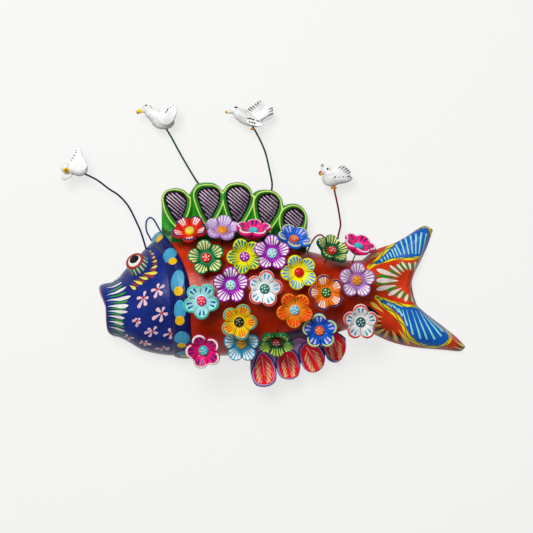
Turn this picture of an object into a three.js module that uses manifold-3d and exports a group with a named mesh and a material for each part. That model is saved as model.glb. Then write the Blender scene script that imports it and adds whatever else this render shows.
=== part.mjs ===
// Hanging clay fish: a hollow, open-backed fish for a wall, with clay flowers and birds on wires.
// Lengths are millimetres. +Z is up and +X is to the right as it hangs, and its front faces -Y.
// The origin lies on the wall, midway between the two hanging points.
import * as THREE from 'three';
import { mergeVertices } from 'three/addons/utils/BufferGeometryUtils.js';
import Module from 'manifold-3d';

// Clay and wire
const CLAY_WALL = 6;
const CLAY_JOINT_GAP = 0.3;
const BIRD_WIRE = 1.2;
const STEM_WIRE = 1.1;
const LOOP_WIRE = 1.3;
const WIRE_CLEARANCE = 0.3;
const WIRE_DEPTH = 4;
const WIRE_END_GAP = 0.4;
const HOLE_MOUTH = 9;

// Gill line, where the head meets the trunk, and the plane where the trunk meets the tail
const GILL_X = -47.8;
const GILL_SWEEP = 21.9;
const GILL_CURL = 5.5;
const TAIL_X = 115;

// Raised gill band
const BAND_WIDTH = 16;
const BAND_TOP_WIDTH = 13;
const BAND_RISE = 4.5;
const BAND_EDGE_RISE = 1.2;

// Body outline by place: -1 is the mouth, 0 the gill line and 1 the tail joint
const TOP_EDGE = [
  [-1, -51], [-0.8, -44.1], [-0.55, -36.2], [-0.3, -22.8], [-0.12, -13.8], [0, -11],
  [0.1, -11.5], [0.2, -9.2], [0.35, -9.6], [0.5, -12.2], [0.65, -16.6], [0.8, -23.5],
  [0.92, -28.6], [1, -28.6],
];
const BOTTOM_EDGE = [
  [-1, -96.6], [-0.8, -102.8], [-0.55, -110.5], [-0.3, -114.3], [0, -115.5],
  [0.2, -115.4], [0.35, -114], [0.5, -111], [0.65, -106.5], [0.8, -98], [0.92, -91.8], [1, -92.6],
];
const DEPTH = [
  [-1, 28], [-0.8, 32], [-0.55, 38], [-0.3, 43], [0, 46],
  [0.2, 51], [0.35, 52], [0.5, 50], [0.65, 45], [0.8, 38], [0.92, 31], [1, 27],
];
// Mouth edge by angle round the section: 0 at the top edge, 180 at the bottom edge
const MOUTH_EDGE = [[0, -122.9], [35, -118.5], [70, -116.2], [140, -115.3], [180, -109.1]];

// Eye boss on the head
const EYE = { x: -89.5, z: -29, across: 8.2, base: 10.6, rise: 8, sunk: 4 };
const EYE_FACING = new THREE.Vector3(-0.39, -0.73, 0.56).normalize();

// Tail: outlines as seen from the front, each point by its distance from the tail joint and its height
const TAIL_TOP = [[12, -19.5], [27.6, -13.7], [38.4, -6.8], [54.9, 1.6], [62.2, -1]];
const TAIL_BOTTOM = [
  [9.2, -95.4], [24.7, -102.2], [38.4, -106.1], [51, -108.1], [73.4, -110], [89.9, -110.9], [93.8, -107.1],
];
const TAIL_FORK = [
  [55.9, -16.5], [50, -30.2], [45.2, -42.9], [44.2, -52.6], [48.1, -66.2], [54.9, -73.9], [73.4, -90.6],
  [85.1, -98.3],
];
const TAIL_EDGE_DEPTH = 4;
const TAIL_LOBE_DEPTH = 13;
const TAIL_LOWER_SWELL = 6;
// Shares of the way down the tail and along it
const TAIL_SWELL_AT = 0.78;
const TAIL_SWELL_REACH = 0.14;
const TAIL_STALK_LENGTH = 0.75;
const TAIL_TIP_START = 0.85;
const TAIL_TIP_THINNING = 0.55;

// Dorsal fin: five rounded lobes with a sunk panel in each
const DORSAL_FRONT = 17;
const DORSAL_THICK = 12;
const DORSAL_MIDDLE = DORSAL_THICK / 2 - DORSAL_FRONT;
const DORSAL_FOOT_Z = -26;
const DORSAL_BEVEL = 2;
const DORSAL_NOTCHES = [[-65.5, 19.9], [-40.9, 30.1], [-11.5, 32.7], [15.9, 31.6], [43.2, 21.4], [65.2, 7.9]];
const DORSAL_LOBE_RISE = [11, 10, 9.5, 7.5, 7.5];
const DORSAL_PANELS = [
  { tip: [-50.5, 5], left: [-63, 27.5], top: [-53.5, 33], right: [-43, 25.7] },
  { tip: [-23, 6], left: [-33.5, 27.5], top: [-22.3, 36], right: [-13, 28.7] },
  { tip: [1, 2.5], left: [-7.8, 28.5], top: [1.2, 37.6], right: [13.5, 28] },
  { tip: [26, 0], left: [19.8, 17], top: [29, 31], right: [39.3, 21.3] },
  { tip: [45, -2.5], left: [43.6, 8], top: [52.2, 17.6], right: [62, 12] },
];
const PANEL_SINK = 3;

// Pelvic fin: four petals that hang below the trunk
const PELVIC_THICK = 8;
const PELVIC_FRONT = 31;
const PELVIC_FRONT_X = 30;
const PELVIC_FRONT_Z = -141;
const PELVIC_LEAN_Z = 0.226;
const PELVIC_LEAN_X = 0.2;
const PELVIC_BEVEL = 2;
const PELVIC_TOP = [[14.9, -108], [24, -98], [51, -88.5], [74, -87], [92.5, -93], [101, -104]];
const PELVIC_NOTCHES = [[101, -109.4], [81.1, -113], [58.7, -119], [37.2, -124], [15, -129]];
const PELVIC_DROP = [11, 14, 15, 15];
const PELVIC_PANELS = [
  { tip: [27, -105], left: [17.5, -128], top: [26, -137.5], right: [34, -128] },
  { tip: [49, -101], left: [40.5, -123], top: [49.5, -132.5], right: [56, -122] },
  { tip: [70, -98], left: [62, -116], top: [71, -126], right: [78, -116] },
  { tip: [87, -101.5], left: [84, -109], top: [91.5, -118], right: [98, -109] },
];

// Flower heads, all pressed to one size, on straight wire stems
const FLOWER_RADIUS = 15.4;
const FLOWER_NOTCH_RADIUS = 9.4;
const FLOWER_FOOT_RADIUS = 4.6;
const FLOWER_DEPTH = 12;
const PETAL_THICK = 2.2;
const PETALS = 5;
const BUTTON_RADIUS = 4.2;
const BUTTON_SHOULDER_RADIUS = 2.9;
const BUTTON_SHOULDER = 8.9;
const BUTTON_TOP = 10;
const DISH_FLOOR = 6.6;
const PETAL_ROUNDNESS = 0.6;
const FOOT_BORE_DEPTH = 2.6;
const SPAN = 12;
const FLOWERS = [
  { name: 'red', at: [-40, -2], facing: [-0.1, 0.56], stem: SPAN, spin: 54, color: 0xd8230f },
  { name: 'lilac_top', at: [-10.5, -1.5], facing: [0.05, 0.6], stem: SPAN, spin: 10, color: 0xc9a3d8 },
  { name: 'pink_top', at: [17, -2], facing: [0.08, 0.74], stem: SPAN + 3, spin: 15, color: 0xf0308c },
  { name: 'blue_top', at: [53.5, -10], facing: [0.25, 0.58], stem: SPAN + 2, spin: 54, color: 0x2468d8 },
  { name: 'green_cup', at: [87, -18.5], facing: [0.36, 0.62], stem: SPAN - 3, spin: 30, color: 0x0f5a32 },
  { name: 'pink_cup', at: [111.5, -14], facing: [0.3, 0.82], stem: SPAN - 2, spin: 0, color: 0xe8207c },
  { name: 'green', at: [-24, -26.5], facing: [-0.02, 0.1], stem: SPAN, spin: 28, color: 0x168048 },
  { name: 'lime', at: [9, -25.5], facing: [0, 0.12], stem: SPAN - 3, spin: 40, color: 0xd2e008 },
  { name: 'purple_right', at: [33, -22.5], facing: [0, 0.16], stem: SPAN + 7, spin: 18, color: 0xa028b4 },
  { name: 'yellow', at: [56.5, -39.5], facing: [0.05, 0.02], stem: SPAN, spin: 43, color: 0xf2e010 },
  { name: 'lilac_right', at: [107.5, -46.5], facing: [0.05, 0.02], stem: SPAN, spin: 18, color: 0xb988d0 },
  { name: 'aqua', at: [-28, -64], facing: [-0.06, 0], stem: SPAN, spin: 54, color: 0x4ad8c8 },
  { name: 'purple_left', at: [-2.5, -50.5], facing: [-0.03, 0], stem: SPAN + 3, spin: 16, color: 0x9424ac },
  { name: 'white_left', at: [26.5, -53.5], facing: [0, 0], stem: SPAN, spin: 8, color: 0xf4f4f2 },
  { name: 'orange_right', at: [80, -57], facing: [0.04, 0], stem: SPAN, spin: 36, color: 0xf47a20 },
  { name: 'gold', at: [4.5, -82], facing: [0, 0.04], stem: SPAN + 4, spin: -3, color: 0xf6b40c },
  { name: 'orange_left', at: [52.5, -72], facing: [0, 0], stem: SPAN, spin: 50, color: 0xf07818 },
  { name: 'blue_low', at: [74.5, -90.5], facing: [0.02, -0.08], stem: SPAN + 5, spin: 18, color: 0x1c60d0 },
  { name: 'white_right', at: [111, -83.5], facing: [0.02, -0.1], stem: SPAN, spin: 20, color: 0xf4f4f2 },
  { name: 'crimson', at: [-27, -108.5], facing: [-0.06, -0.2], stem: SPAN, spin: 34, color: 0xe01868 },
  { name: 'sky', at: [6.5, -102.5], facing: [0, -0.22], stem: SPAN - 3, spin: 19, color: 0x50b8e0 },
  { name: 'green_low', at: [36.5, -100], facing: [-0.05, -0.5], stem: SPAN - 2, spin: 54, color: 0x165a30 },
];

// Birds, each on a long wire that can sway; a wire's foot is where it leaves the clay.
// Each lump is an ellipsoid pressed onto the body: its centre, half sizes and the rise of its right end.
const BIRD_BEAK_LENGTH = 4.5;
const BIRD_BEAK_RADIUS = 1.5;
const BIRD_BEAK_TIP = 0.5;
const BIRD_WIRE_REACH = 3.5;
const BIRDS = [
  {
    name: 'left', at: [-139.5, -16, 51], color: 0x24406c, seat: 'head', foot: [-80.4, -7],
    beak: { at: [-12, -5.5, 1], facing: [-0.3, -0.95, 0] },
    lumps: [
      { at: [0, 0, 0], size: [8.4, 7, 6.4], raised: 0 },
      { at: [-6.5, 0, 1.8], size: [6.5, 5, 4.6], raised: -10 },
      { at: [-12.5, -1, 3.2], size: [4.6, 4.8, 4.4], raised: 0 },
      { at: [0.5, 3, 11], size: [5.6, 2, 11.5], raised: 0 },
      { at: [-10.5, -3.5, -4.2], size: [6.6, 2, 3.2], raised: 38 },
    ],
    route: [
      [-85.1, -7.5, -3.7], [-88.9, -8, 5.2], [-97.1, -9, 21], [-105.5, -11, 30.1], [-113.3, -12, 35.2],
      [-124.1, -14, 43.3],
    ],
  },
  {
    name: 'high_left', at: [-69.3, -12, 99], color: 0x2c6a3a, seat: 'dorsal', foot: [-32.8, DORSAL_MIDDLE],
    beak: { at: [-17.5, 0, 6], facing: [-0.96, 0, -0.28] },
    lumps: [
      { at: [1.8, 0, -1], size: [10.5, 7, 8.6], raised: -12 },
      { at: [-9.5, 0, 7.6], size: [6.4, 4.8, 5], raised: 0 },
      { at: [-13.5, 0, 6.6], size: [5, 2.8, 2.8], raised: 12 },
      { at: [11, 4, 4.6], size: [7.6, 1.9, 5.4], raised: 48 },
      { at: [11, -4, 4.6], size: [7.6, 1.9, 5.4], raised: 48 },
    ],
    route: [[-34.9, DORSAL_MIDDLE, 42.6], [-48, -11.2, 64.5], [-60.5, -11.5, 87]],
  },
  {
    name: 'high_right', at: [8, -12, 101.5], color: 0x2a7a38, seat: 'dorsal', foot: [32.6, DORSAL_MIDDLE],
    beak: { at: [-16.5, 0, 3.6], facing: [-1, 0, -0.1] },
    lumps: [
      { at: [2.7, 0, -2], size: [13, 6, 5.8], raised: -22 },
      { at: [-8, 0, 5], size: [6.6, 4.5, 4.4], raised: 0 },
      { at: [-12.5, 0, 4], size: [5, 2.6, 2.6], raised: 8 },
      { at: [9.4, 4.5, 6.8], size: [8.8, 1.9, 4.6], raised: 42 },
      { at: [10, -5, -6], size: [8.8, 1.9, 3.6], raised: -24 },
      { at: [17, 0, -0.5], size: [9.5, 4, 2.2], raised: 12 },
    ],
    route: [[33.2, DORSAL_MIDDLE, 40], [30.7, -11.2, 53.3], [26.5, -11.4, 69.9], [17.5, -11.7, 87]],
  },
  {
    name: 'right', at: [90, -14, 46.5], color: 0x7a3a26, seat: 'trunk', foot: [89.4, -7],
    beak: { at: [-14.5, 0, 2.2], facing: [-1, 0, 0] },
    lumps: [
      { at: [-2.7, 0, -1.8], size: [10.6, 6.5, 7.2], raised: 0 },
      { at: [-9, 0, 4], size: [5.6, 4.6, 5], raised: 0 },
      { at: [-9.5, 4, 9.5], size: [2.6, 1.7, 4.4], raised: 0 },
      { at: [6, -4, 6.4], size: [8, 1.9, 5.6], raised: 30 },
      { at: [8.5, 0, -2], size: [8.6, 4.2, 2.6], raised: 0 },
    ],
    route: [
      [92, -7, -12], [93.5, -7.5, -3.9], [94.9, -8, 2.4], [93.5, -10, 13.6], [91.2, -12, 25.3], [89.2, -13, 35],
    ],
  },
];

// Hanging loops, bent from wire; both feet are set in the clay, and the bend rises between them
const LOOP_Y = -3.2;
const LOOPS = [
  {
    name: 'loop_left', color: 0x24406c, seat: 'band', feet: [-76.2, -67],
    bend: [[-78.6, -3], [-80.5, 2], [-79.3, 7.8], [-75.4, 10], [-71.4, 7.2], [-68, -1.4]],
  },
  {
    name: 'loop_right', color: 0x7a3a26, seat: 'trunk', feet: [65.4, 82],
    bend: [[68.6, -13.3], [73, -7.3], [77, -5.7], [80.9, -8.8], [82, -17]],
  },
];

const COLORS = {
  head: 0x1a3aa0,
  band: 0x14307c,
  body: 0xc63414,
  dorsal: 0x28a028,
  pelvic: 0x6a3f86,
  stem: 0x4a3022,
  bird: 0xf4f4f2,
};
const PAINTED_CLAY = { roughness: 0.3, metalness: 0 };
const PAINTED_WIRE = { roughness: 0.45, metalness: 0.4 };

const WELD_DISTANCE = 1e-4;
const wasm = await Module();
wasm.setup();

// A closed mesh as a solid that can be joined and cut
function toSolid(geometry) {
  const bare = geometry.clone();
  bare.deleteAttribute('normal');
  bare.deleteAttribute('uv');
  const merged = mergeVertices(bare, WELD_DISTANCE);
  return new wasm.Manifold(new wasm.Mesh({
    numProp: 3,
    vertProperties: new Float32Array(merged.attributes.position.array),
    triVerts: Uint32Array.from(merged.index.array),
  }));
}

function toGeometry(solid) {
  const mesh = solid.getMesh();
  const geometry = new THREE.BufferGeometry();
  geometry.setAttribute('position', new THREE.BufferAttribute(Float32Array.from(mesh.vertProperties), 3));
  geometry.setIndex([...mesh.triVerts]);
  geometry.computeVertexNormals();
  return geometry;
}

// Smooth curve through pairs of place and value
function valueAt(pairs, place) {
  const last = pairs.length - 1;
  const slope = (k) => {
    const before = pairs[Math.max(k - 1, 0)];
    const after = pairs[Math.min(k + 1, last)];
    return (after[1] - before[1]) / (after[0] - before[0]);
  };
  let k = 0;
  while (k < last - 1 && place > pairs[k + 1][0]) k += 1;
  const span = pairs[k + 1][0] - pairs[k][0];
  const t = THREE.MathUtils.clamp((place - pairs[k][0]) / span, 0, 1);
  const rise = 3 * t * t - 2 * t * t * t;
  const lead = t * (1 - t) * (1 - t) * span;
  const trail = t * t * (t - 1) * span;
  return pairs[k][1] * (1 - rise) + pairs[k + 1][1] * rise + slope(k) * lead + slope(k + 1) * trail;
}

// The body surface: place runs from mouth to tail, angle from the top edge round the front to the bottom edge
function gillX(angle) {
  return GILL_X - GILL_SWEEP * ((1 + Math.cos(angle)) / 2) ** GILL_CURL;
}

function bodyX(place, angle) {
  const mouth = valueAt(MOUTH_EDGE, THREE.MathUtils.radToDeg(angle));
  const far = place < 0 ? mouth : TAIL_X;
  return THREE.MathUtils.lerp(gillX(angle), far, Math.abs(place));
}

function section(place, grow) {
  const top = valueAt(TOP_EDGE, place);
  const bottom = valueAt(BOTTOM_EDGE, place);
  return { middle: (top + bottom) / 2, half: (top - bottom) / 2 + grow, depth: valueAt(DEPTH, place) + grow };
}

function bodyPoint(place, angle, grow) {
  const ring = section(place, grow);
  const height = ring.middle + ring.half * Math.cos(angle);
  return new THREE.Vector3(bodyX(place, angle), -ring.depth * Math.sin(angle), height);
}

// The place whose ring crosses a given x at a given angle
function placeAt(x, angle) {
  const gill = gillX(angle);
  if (x > gill) return (x - gill) / (TAIL_X - gill);
  const mouth = valueAt(MOUTH_EDGE, THREE.MathUtils.radToDeg(angle));
  return -(gill - x) / (gill - mouth);
}

// The ring through x at the angle that a rule finds on it, worked out by repeated passes
const SURFACE_PASSES = 12;
function ringAt(x, grow, startAngle, angleOn) {
  let angle = startAngle;
  let ring = section(0, grow);
  for (let pass = 0; pass < SURFACE_PASSES; pass += 1) {
    ring = section(THREE.MathUtils.clamp(placeAt(x, angle), -1, 1), grow);
    angle = angleOn(ring);
  }
  return { ring, angle };
}

// How far out from the wall the body surface lies at x and z
function surfaceY(x, z) {
  const angleOn = (ring) => Math.acos(THREE.MathUtils.clamp((z - ring.middle) / ring.half, -1, 1));
  const { ring, angle } = ringAt(x, 0, Math.PI / 2, angleOn);
  return -ring.depth * Math.sin(angle);
}

// How high the upper body surface lies at x and y
function surfaceZ(x, y, grow) {
  const angleOn = (ring) => Math.asin(THREE.MathUtils.clamp(-y / ring.depth, 0, 1));
  const { ring, angle } = ringAt(x, grow, 0, angleOn);
  return ring.middle + ring.half * Math.cos(angle);
}

// How high the dorsal fin stands at x, over the lobe that holds it
function dorsalTop(x) {
  const next = DORSAL_NOTCHES.findIndex(([edge]) => edge > x);
  const [from, to] = [DORSAL_NOTCHES[next - 1], DORSAL_NOTCHES[next]];
  const share = (x - from[0]) / (to[0] - from[0]);
  const lift = DORSAL_LOBE_RISE[next - 1] * 2 * Math.sqrt(share * (1 - share));
  return THREE.MathUtils.lerp(from[1], to[1], share) + lift;
}

// Where a wire foot stands on each clay piece
const SEAT_HEIGHT = {
  head: (x, y) => surfaceZ(x, y, 0),
  trunk: (x, y) => surfaceZ(x, y, 0),
  band: (x, y) => surfaceZ(x, y, BAND_RISE),
  dorsal: (x) => dorsalTop(x),
};

// A closed solid between a front sheet and a back sheet, each given by column (along X) and row (downwards)
function sheetSolid(columns, rows, front, back) {
  const positions = [];
  const width = rows + 1;
  const sheetSize = (columns + 1) * width;
  for (const sheet of [front, back]) {
    for (let i = 0; i <= columns; i += 1) {
      for (let j = 0; j <= rows; j += 1) positions.push(...sheet(i / columns, j / rows).toArray());
    }
  }
  const index = [];
  const quad = (a, b, c, d) => index.push(a, b, c, a, c, d);
  const outer = (i, j) => i * width + j;
  const inner = (i, j) => sheetSize + i * width + j;
  for (let i = 0; i < columns; i += 1) {
    for (let j = 0; j < rows; j += 1) {
      quad(outer(i, j), outer(i, j + 1), outer(i + 1, j + 1), outer(i + 1, j));
      quad(inner(i, j), inner(i + 1, j), inner(i + 1, j + 1), inner(i, j + 1));
    }
    quad(outer(i, 0), outer(i + 1, 0), inner(i + 1, 0), inner(i, 0));
    quad(inner(i, rows), inner(i + 1, rows), outer(i + 1, rows), outer(i, rows));
  }
  for (let j = 0; j < rows; j += 1) {
    quad(outer(0, j), inner(0, j), inner(0, j + 1), outer(0, j + 1));
    quad(outer(columns, j), outer(columns, j + 1), inner(columns, j + 1), inner(columns, j));
  }
  const geometry = new THREE.BufferGeometry();
  geometry.setAttribute('position', new THREE.Float32BufferAttribute(positions, 3));
  geometry.setIndex(index);
  return geometry;
}

// Head and trunk are half-round shells, open at the back
function bodySheet(from, to, grow) {
  return (along, down) => bodyPoint(THREE.MathUtils.lerp(from, to, along), down * Math.PI, grow);
}

function bodyShell(from, to, columns, rows) {
  return toSolid(sheetSolid(columns, rows, bodySheet(from, to, 0), bodySheet(from, to, -CLAY_WALL)));
}

// The body as one filled block, for cutting the pieces that are luted onto it
function bodyBlock(from, to, grow, columns, rows) {
  const front = bodySheet(from, to, grow);
  const back = (along, down) => front(along, down).setY(CLAY_WALL);
  return toSolid(sheetSolid(columns, rows, front, back));
}

const UP = new THREE.Vector3(0, 1, 0);

// A round rod between two points
function rod(from, to, radius, sides, endRadius = radius) {
  const span = to.clone().sub(from);
  const geometry = new THREE.CylinderGeometry(endRadius, radius, span.length(), sides);
  geometry.applyQuaternion(new THREE.Quaternion().setFromUnitVectors(UP, span.clone().normalize()));
  const middle = from.clone().add(to).multiplyScalar(0.5);
  geometry.translate(middle.x, middle.y, middle.z);
  return geometry;
}

// A hole for a wire end: mouth on the surface, running inwards
const HOLE_SIDES = 8;
function wireHole(mouth, inwards, wire) {
  const radius = (wire / 2 + WIRE_CLEARANCE) / Math.cos(Math.PI / HOLE_SIDES);
  const start = mouth.clone().addScaledVector(inwards, -HOLE_MOUTH);
  const end = mouth.clone().addScaledVector(inwards, WIRE_DEPTH + WIRE_END_GAP);
  return toSolid(rod(start, end, radius, HOLE_SIDES));
}

// A bent or straight wire along a smooth path
const WIRE_SIDES = 6;
function wireAlong(points, wire, steps) {
  const ring = new THREE.Shape(Array.from({ length: WIRE_SIDES }, (_, k) => {
    const turn = (k / WIRE_SIDES) * Math.PI * 2;
    return new THREE.Vector2(Math.cos(turn), Math.sin(turn)).multiplyScalar(wire / 2);
  }));
  const bent = points.length > 2;
  const path = bent ? new THREE.CatmullRomCurve3(points, false, 'centripetal') : new THREE.LineCurve3(...points);
  return new THREE.ExtrudeGeometry(ring, { steps, extrudePath: path });
}

const fish = new THREE.Group();

function addPiece(name, geometry, color, finish) {
  const mesh = new THREE.Mesh(geometry, new THREE.MeshStandardMaterial({ color, ...finish }));
  mesh.name = name;
  fish.add(mesh);
}

// Wire holes by the clay piece that they are cut in; one near the tail joint may reach into the tail
const holes = { head: [], band: [], trunk: [], dorsal: [] };

// Flowers: a cupped head with five petals and a round button, and a straight stem set in the trunk
const FRONT = new THREE.Vector3(0, 0, 1);
const PETAL_COLUMNS = 20;
function petalRadius(turn) {
  const wave = Math.abs(Math.cos((turn * PETALS) / 2));
  return FLOWER_NOTCH_RADIUS + (FLOWER_RADIUS - FLOWER_NOTCH_RADIUS) * wave ** PETAL_ROUNDNESS;
}

function flowerHead() {
  const rims = [
    { radius: () => FLOWER_FOOT_RADIUS, height: 0 },
    { radius: petalRadius, height: FLOWER_DEPTH - PETAL_THICK },
    { radius: (turn) => petalRadius(turn) - PETAL_THICK / 2, height: FLOWER_DEPTH },
    { radius: () => (BUTTON_RADIUS + FLOWER_NOTCH_RADIUS) / 2, height: DISH_FLOOR },
    { radius: () => BUTTON_RADIUS, height: DISH_FLOOR },
    { radius: () => BUTTON_SHOULDER_RADIUS, height: BUTTON_SHOULDER },
  ];
  const positions = [0, 0, 0];
  for (const rim of rims) {
    for (let k = 0; k < PETAL_COLUMNS; k += 1) {
      const turn = (k / PETAL_COLUMNS) * Math.PI * 2;
      positions.push(rim.radius(turn) * Math.cos(turn), rim.radius(turn) * Math.sin(turn), rim.height);
    }
  }
  positions.push(0, 0, BUTTON_TOP);
  const crown = 1 + rims.length * PETAL_COLUMNS;
  const index = [];
  for (let k = 0; k < PETAL_COLUMNS; k += 1) {
    const next = (k + 1) % PETAL_COLUMNS;
    index.push(0, 1 + next, 1 + k);
    for (let ring = 0; ring < rims.length - 1; ring += 1) {
      const low = 1 + ring * PETAL_COLUMNS;
      const high = low + PETAL_COLUMNS;
      index.push(low + k, low + next, high + next, low + k, high + next, high + k);
    }
    const lastRing = crown - PETAL_COLUMNS;
    index.push(lastRing + k, lastRing + next, crown);
  }
  const geometry = new THREE.BufferGeometry();
  geometry.setAttribute('position', new THREE.Float32BufferAttribute(positions, 3));
  geometry.setIndex(index);
  const mouth = new THREE.Vector3(0, 0, FOOT_BORE_DEPTH - WIRE_DEPTH - WIRE_END_GAP);
  return toGeometry(toSolid(geometry).subtract(wireHole(mouth, FRONT, STEM_WIRE)));
}

const headShape = flowerHead();
for (const flower of FLOWERS) {
  const [leanX, leanZ] = flower.facing;
  const facing = new THREE.Vector3(leanX, -Math.sqrt(1 - leanX * leanX - leanZ * leanZ), leanZ);
  const reach = flower.stem + BUTTON_TOP;
  const footX = flower.at[0] - leanX * reach;
  const footZ = flower.at[1] - leanZ * reach;
  const foot = new THREE.Vector3(footX, surfaceY(footX, footZ), footZ);
  const backOfHead = foot.clone().addScaledVector(facing, flower.stem);
  const turn = new THREE.Quaternion().setFromUnitVectors(FRONT, facing);
  const spin = new THREE.Quaternion().setFromAxisAngle(FRONT, THREE.MathUtils.degToRad(flower.spin));
  const head = headShape.clone().applyQuaternion(turn.multiply(spin));
  head.translate(backOfHead.x, backOfHead.y, backOfHead.z);
  addPiece(`flower_${flower.name}`, head, flower.color, PAINTED_CLAY);
  const stemEnd = backOfHead.clone().addScaledVector(facing, FOOT_BORE_DEPTH - WIRE_END_GAP);
  const stemStart = foot.clone().addScaledVector(facing, -WIRE_DEPTH);
  addPiece(`stem_${flower.name}`, wireAlong([stemStart, stemEnd], STEM_WIRE, 1), COLORS.stem, PAINTED_WIRE);
  holes.trunk.push(wireHole(foot, facing.clone().negate(), STEM_WIRE));
}

// Birds: one modelled lump each, on a long wire with its foot in the head, the fin or the trunk
const LUMP_COLUMNS = 10;
const LUMP_ROWS = 6;
function ellipsoid({ at, size, raised }) {
  const geometry = new THREE.SphereGeometry(1, LUMP_COLUMNS, LUMP_ROWS);
  geometry.scale(...size);
  geometry.rotateY(THREE.MathUtils.degToRad(-raised));
  geometry.translate(...at);
  return toSolid(geometry);
}

function birdSolid(bird) {
  const middle = new THREE.Vector3(...bird.beak.at);
  const half = new THREE.Vector3(...bird.beak.facing).setLength(BIRD_BEAK_LENGTH / 2);
  const root = middle.clone().sub(half);
  const beak = toSolid(rod(root, middle.add(half), BIRD_BEAK_RADIUS, LUMP_ROWS, BIRD_BEAK_TIP));
  const lump = bird.lumps.map(ellipsoid).reduce((whole, next) => whole.add(next), beak);
  return lump.translate(bird.at);
}

const BIRD_WIRE_STEPS = 12;
for (const bird of BIRDS) {
  const foot = new THREE.Vector3(...bird.foot, SEAT_HEIGHT[bird.seat](...bird.foot));
  const points = [foot, ...bird.route.map((point) => new THREE.Vector3(...point))];
  const inwards = points[0].clone().sub(points[1]).normalize();
  holes[bird.seat].push(wireHole(points[0], inwards, BIRD_WIRE));
  const centre = new THREE.Vector3(...bird.at);
  const last = points[points.length - 1];
  const upwards = centre.clone().sub(last).normalize();
  const wireEnd = centre.clone().addScaledVector(upwards, -BIRD_WIRE_REACH);
  const bore = wireHole(wireEnd.clone().addScaledVector(upwards, -WIRE_DEPTH), upwards, BIRD_WIRE);
  addPiece(`bird_${bird.name}`, toGeometry(birdSolid(bird).subtract(bore)), COLORS.bird, PAINTED_CLAY);
  const path = [points[0].clone().addScaledVector(inwards, WIRE_DEPTH), ...points, wireEnd];
  addPiece(`bird_wire_${bird.name}`, wireAlong(path, BIRD_WIRE, BIRD_WIRE_STEPS), bird.color, PAINTED_WIRE);
}

// Hanging loops
const LOOP_STEPS = 16;
for (const loop of LOOPS) {
  const [first, last] = loop.feet.map((x) => [x, SEAT_HEIGHT[loop.seat](x, LOOP_Y)]);
  const points = [first, ...loop.bend, last].map(([x, z]) => new THREE.Vector3(x, LOOP_Y, z));
  const legs = [[points[0], points[1]], [points[points.length - 1], points[points.length - 2]]];
  const ends = legs.map(([foot, next]) => {
    const inwards = foot.clone().sub(next).normalize();
    holes[loop.seat].push(wireHole(foot, inwards, LOOP_WIRE));
    return foot.clone().addScaledVector(inwards, WIRE_DEPTH);
  });
  const path = [ends[0], ...points, ends[1]];
  addPiece(loop.name, wireAlong(path, LOOP_WIRE, LOOP_STEPS), loop.color, PAINTED_WIRE);
}

const HEAD_COLUMNS = 8;
const TRUNK_COLUMNS = 14;
const BODY_ROWS = 18;
const joined = (solid, cuts) => cuts.reduce((whole, cut) => whole.subtract(cut), solid);

// Head shell with its eye boss; the mouth is the open end
const EYE_SIDES = 20;
const seamPlace = CLAY_JOINT_GAP / 2 / (TAIL_X - GILL_X);
const eyeRootX = EYE.x - EYE_FACING.x * EYE.rise;
const eyeRootZ = EYE.z - EYE_FACING.z * EYE.rise;
const eyeRoot = new THREE.Vector3(eyeRootX, surfaceY(eyeRootX, eyeRootZ), eyeRootZ);
const eyeBoss = rod(
  eyeRoot.clone().addScaledVector(EYE_FACING, -EYE.sunk),
  eyeRoot.clone().addScaledVector(EYE_FACING, EYE.rise), EYE.base, EYE_SIDES, EYE.across,
);
const headShell = bodyShell(-1, -2 * seamPlace, HEAD_COLUMNS, BODY_ROWS).add(toSolid(eyeBoss));
addPiece('head_shell', toGeometry(joined(headShell, holes.head)), COLORS.head, PAINTED_CLAY);

// Trunk shell
const trunkShell = bodyShell(seamPlace, 1, TRUNK_COLUMNS, BODY_ROWS);
addPiece('trunk_shell', toGeometry(joined(trunkShell, holes.trunk)), COLORS.body, PAINTED_CLAY);

// Gill band: a coil of clay laid over the joint of head and trunk
const BAND_COLUMNS = 4;
const BAND_PROFILE = [[-1, BAND_EDGE_RISE], [0, BAND_RISE], [1, BAND_EDGE_RISE]];
function bandPoint(across, angle, grow) {
  const top = (1 + Math.cos(angle)) / 2;
  const halfWidth = THREE.MathUtils.lerp(BAND_WIDTH, BAND_TOP_WIDTH, top ** GILL_CURL) / 2;
  return bodyPoint(placeAt(gillX(angle) + across * halfWidth, angle), angle, grow);
}
const bandFront = (along, down) => {
  const across = 2 * along - 1;
  return bandPoint(across, down * Math.PI, valueAt(BAND_PROFILE, across));
};
const bandBack = (along, down) => bandPoint(2 * along - 1, down * Math.PI, CLAY_JOINT_GAP);
const band = toSolid(sheetSolid(BAND_COLUMNS, BODY_ROWS, bandFront, bandBack));
addPiece('gill_band', toGeometry(joined(band, holes.band)), COLORS.band, PAINTED_CLAY);

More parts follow.
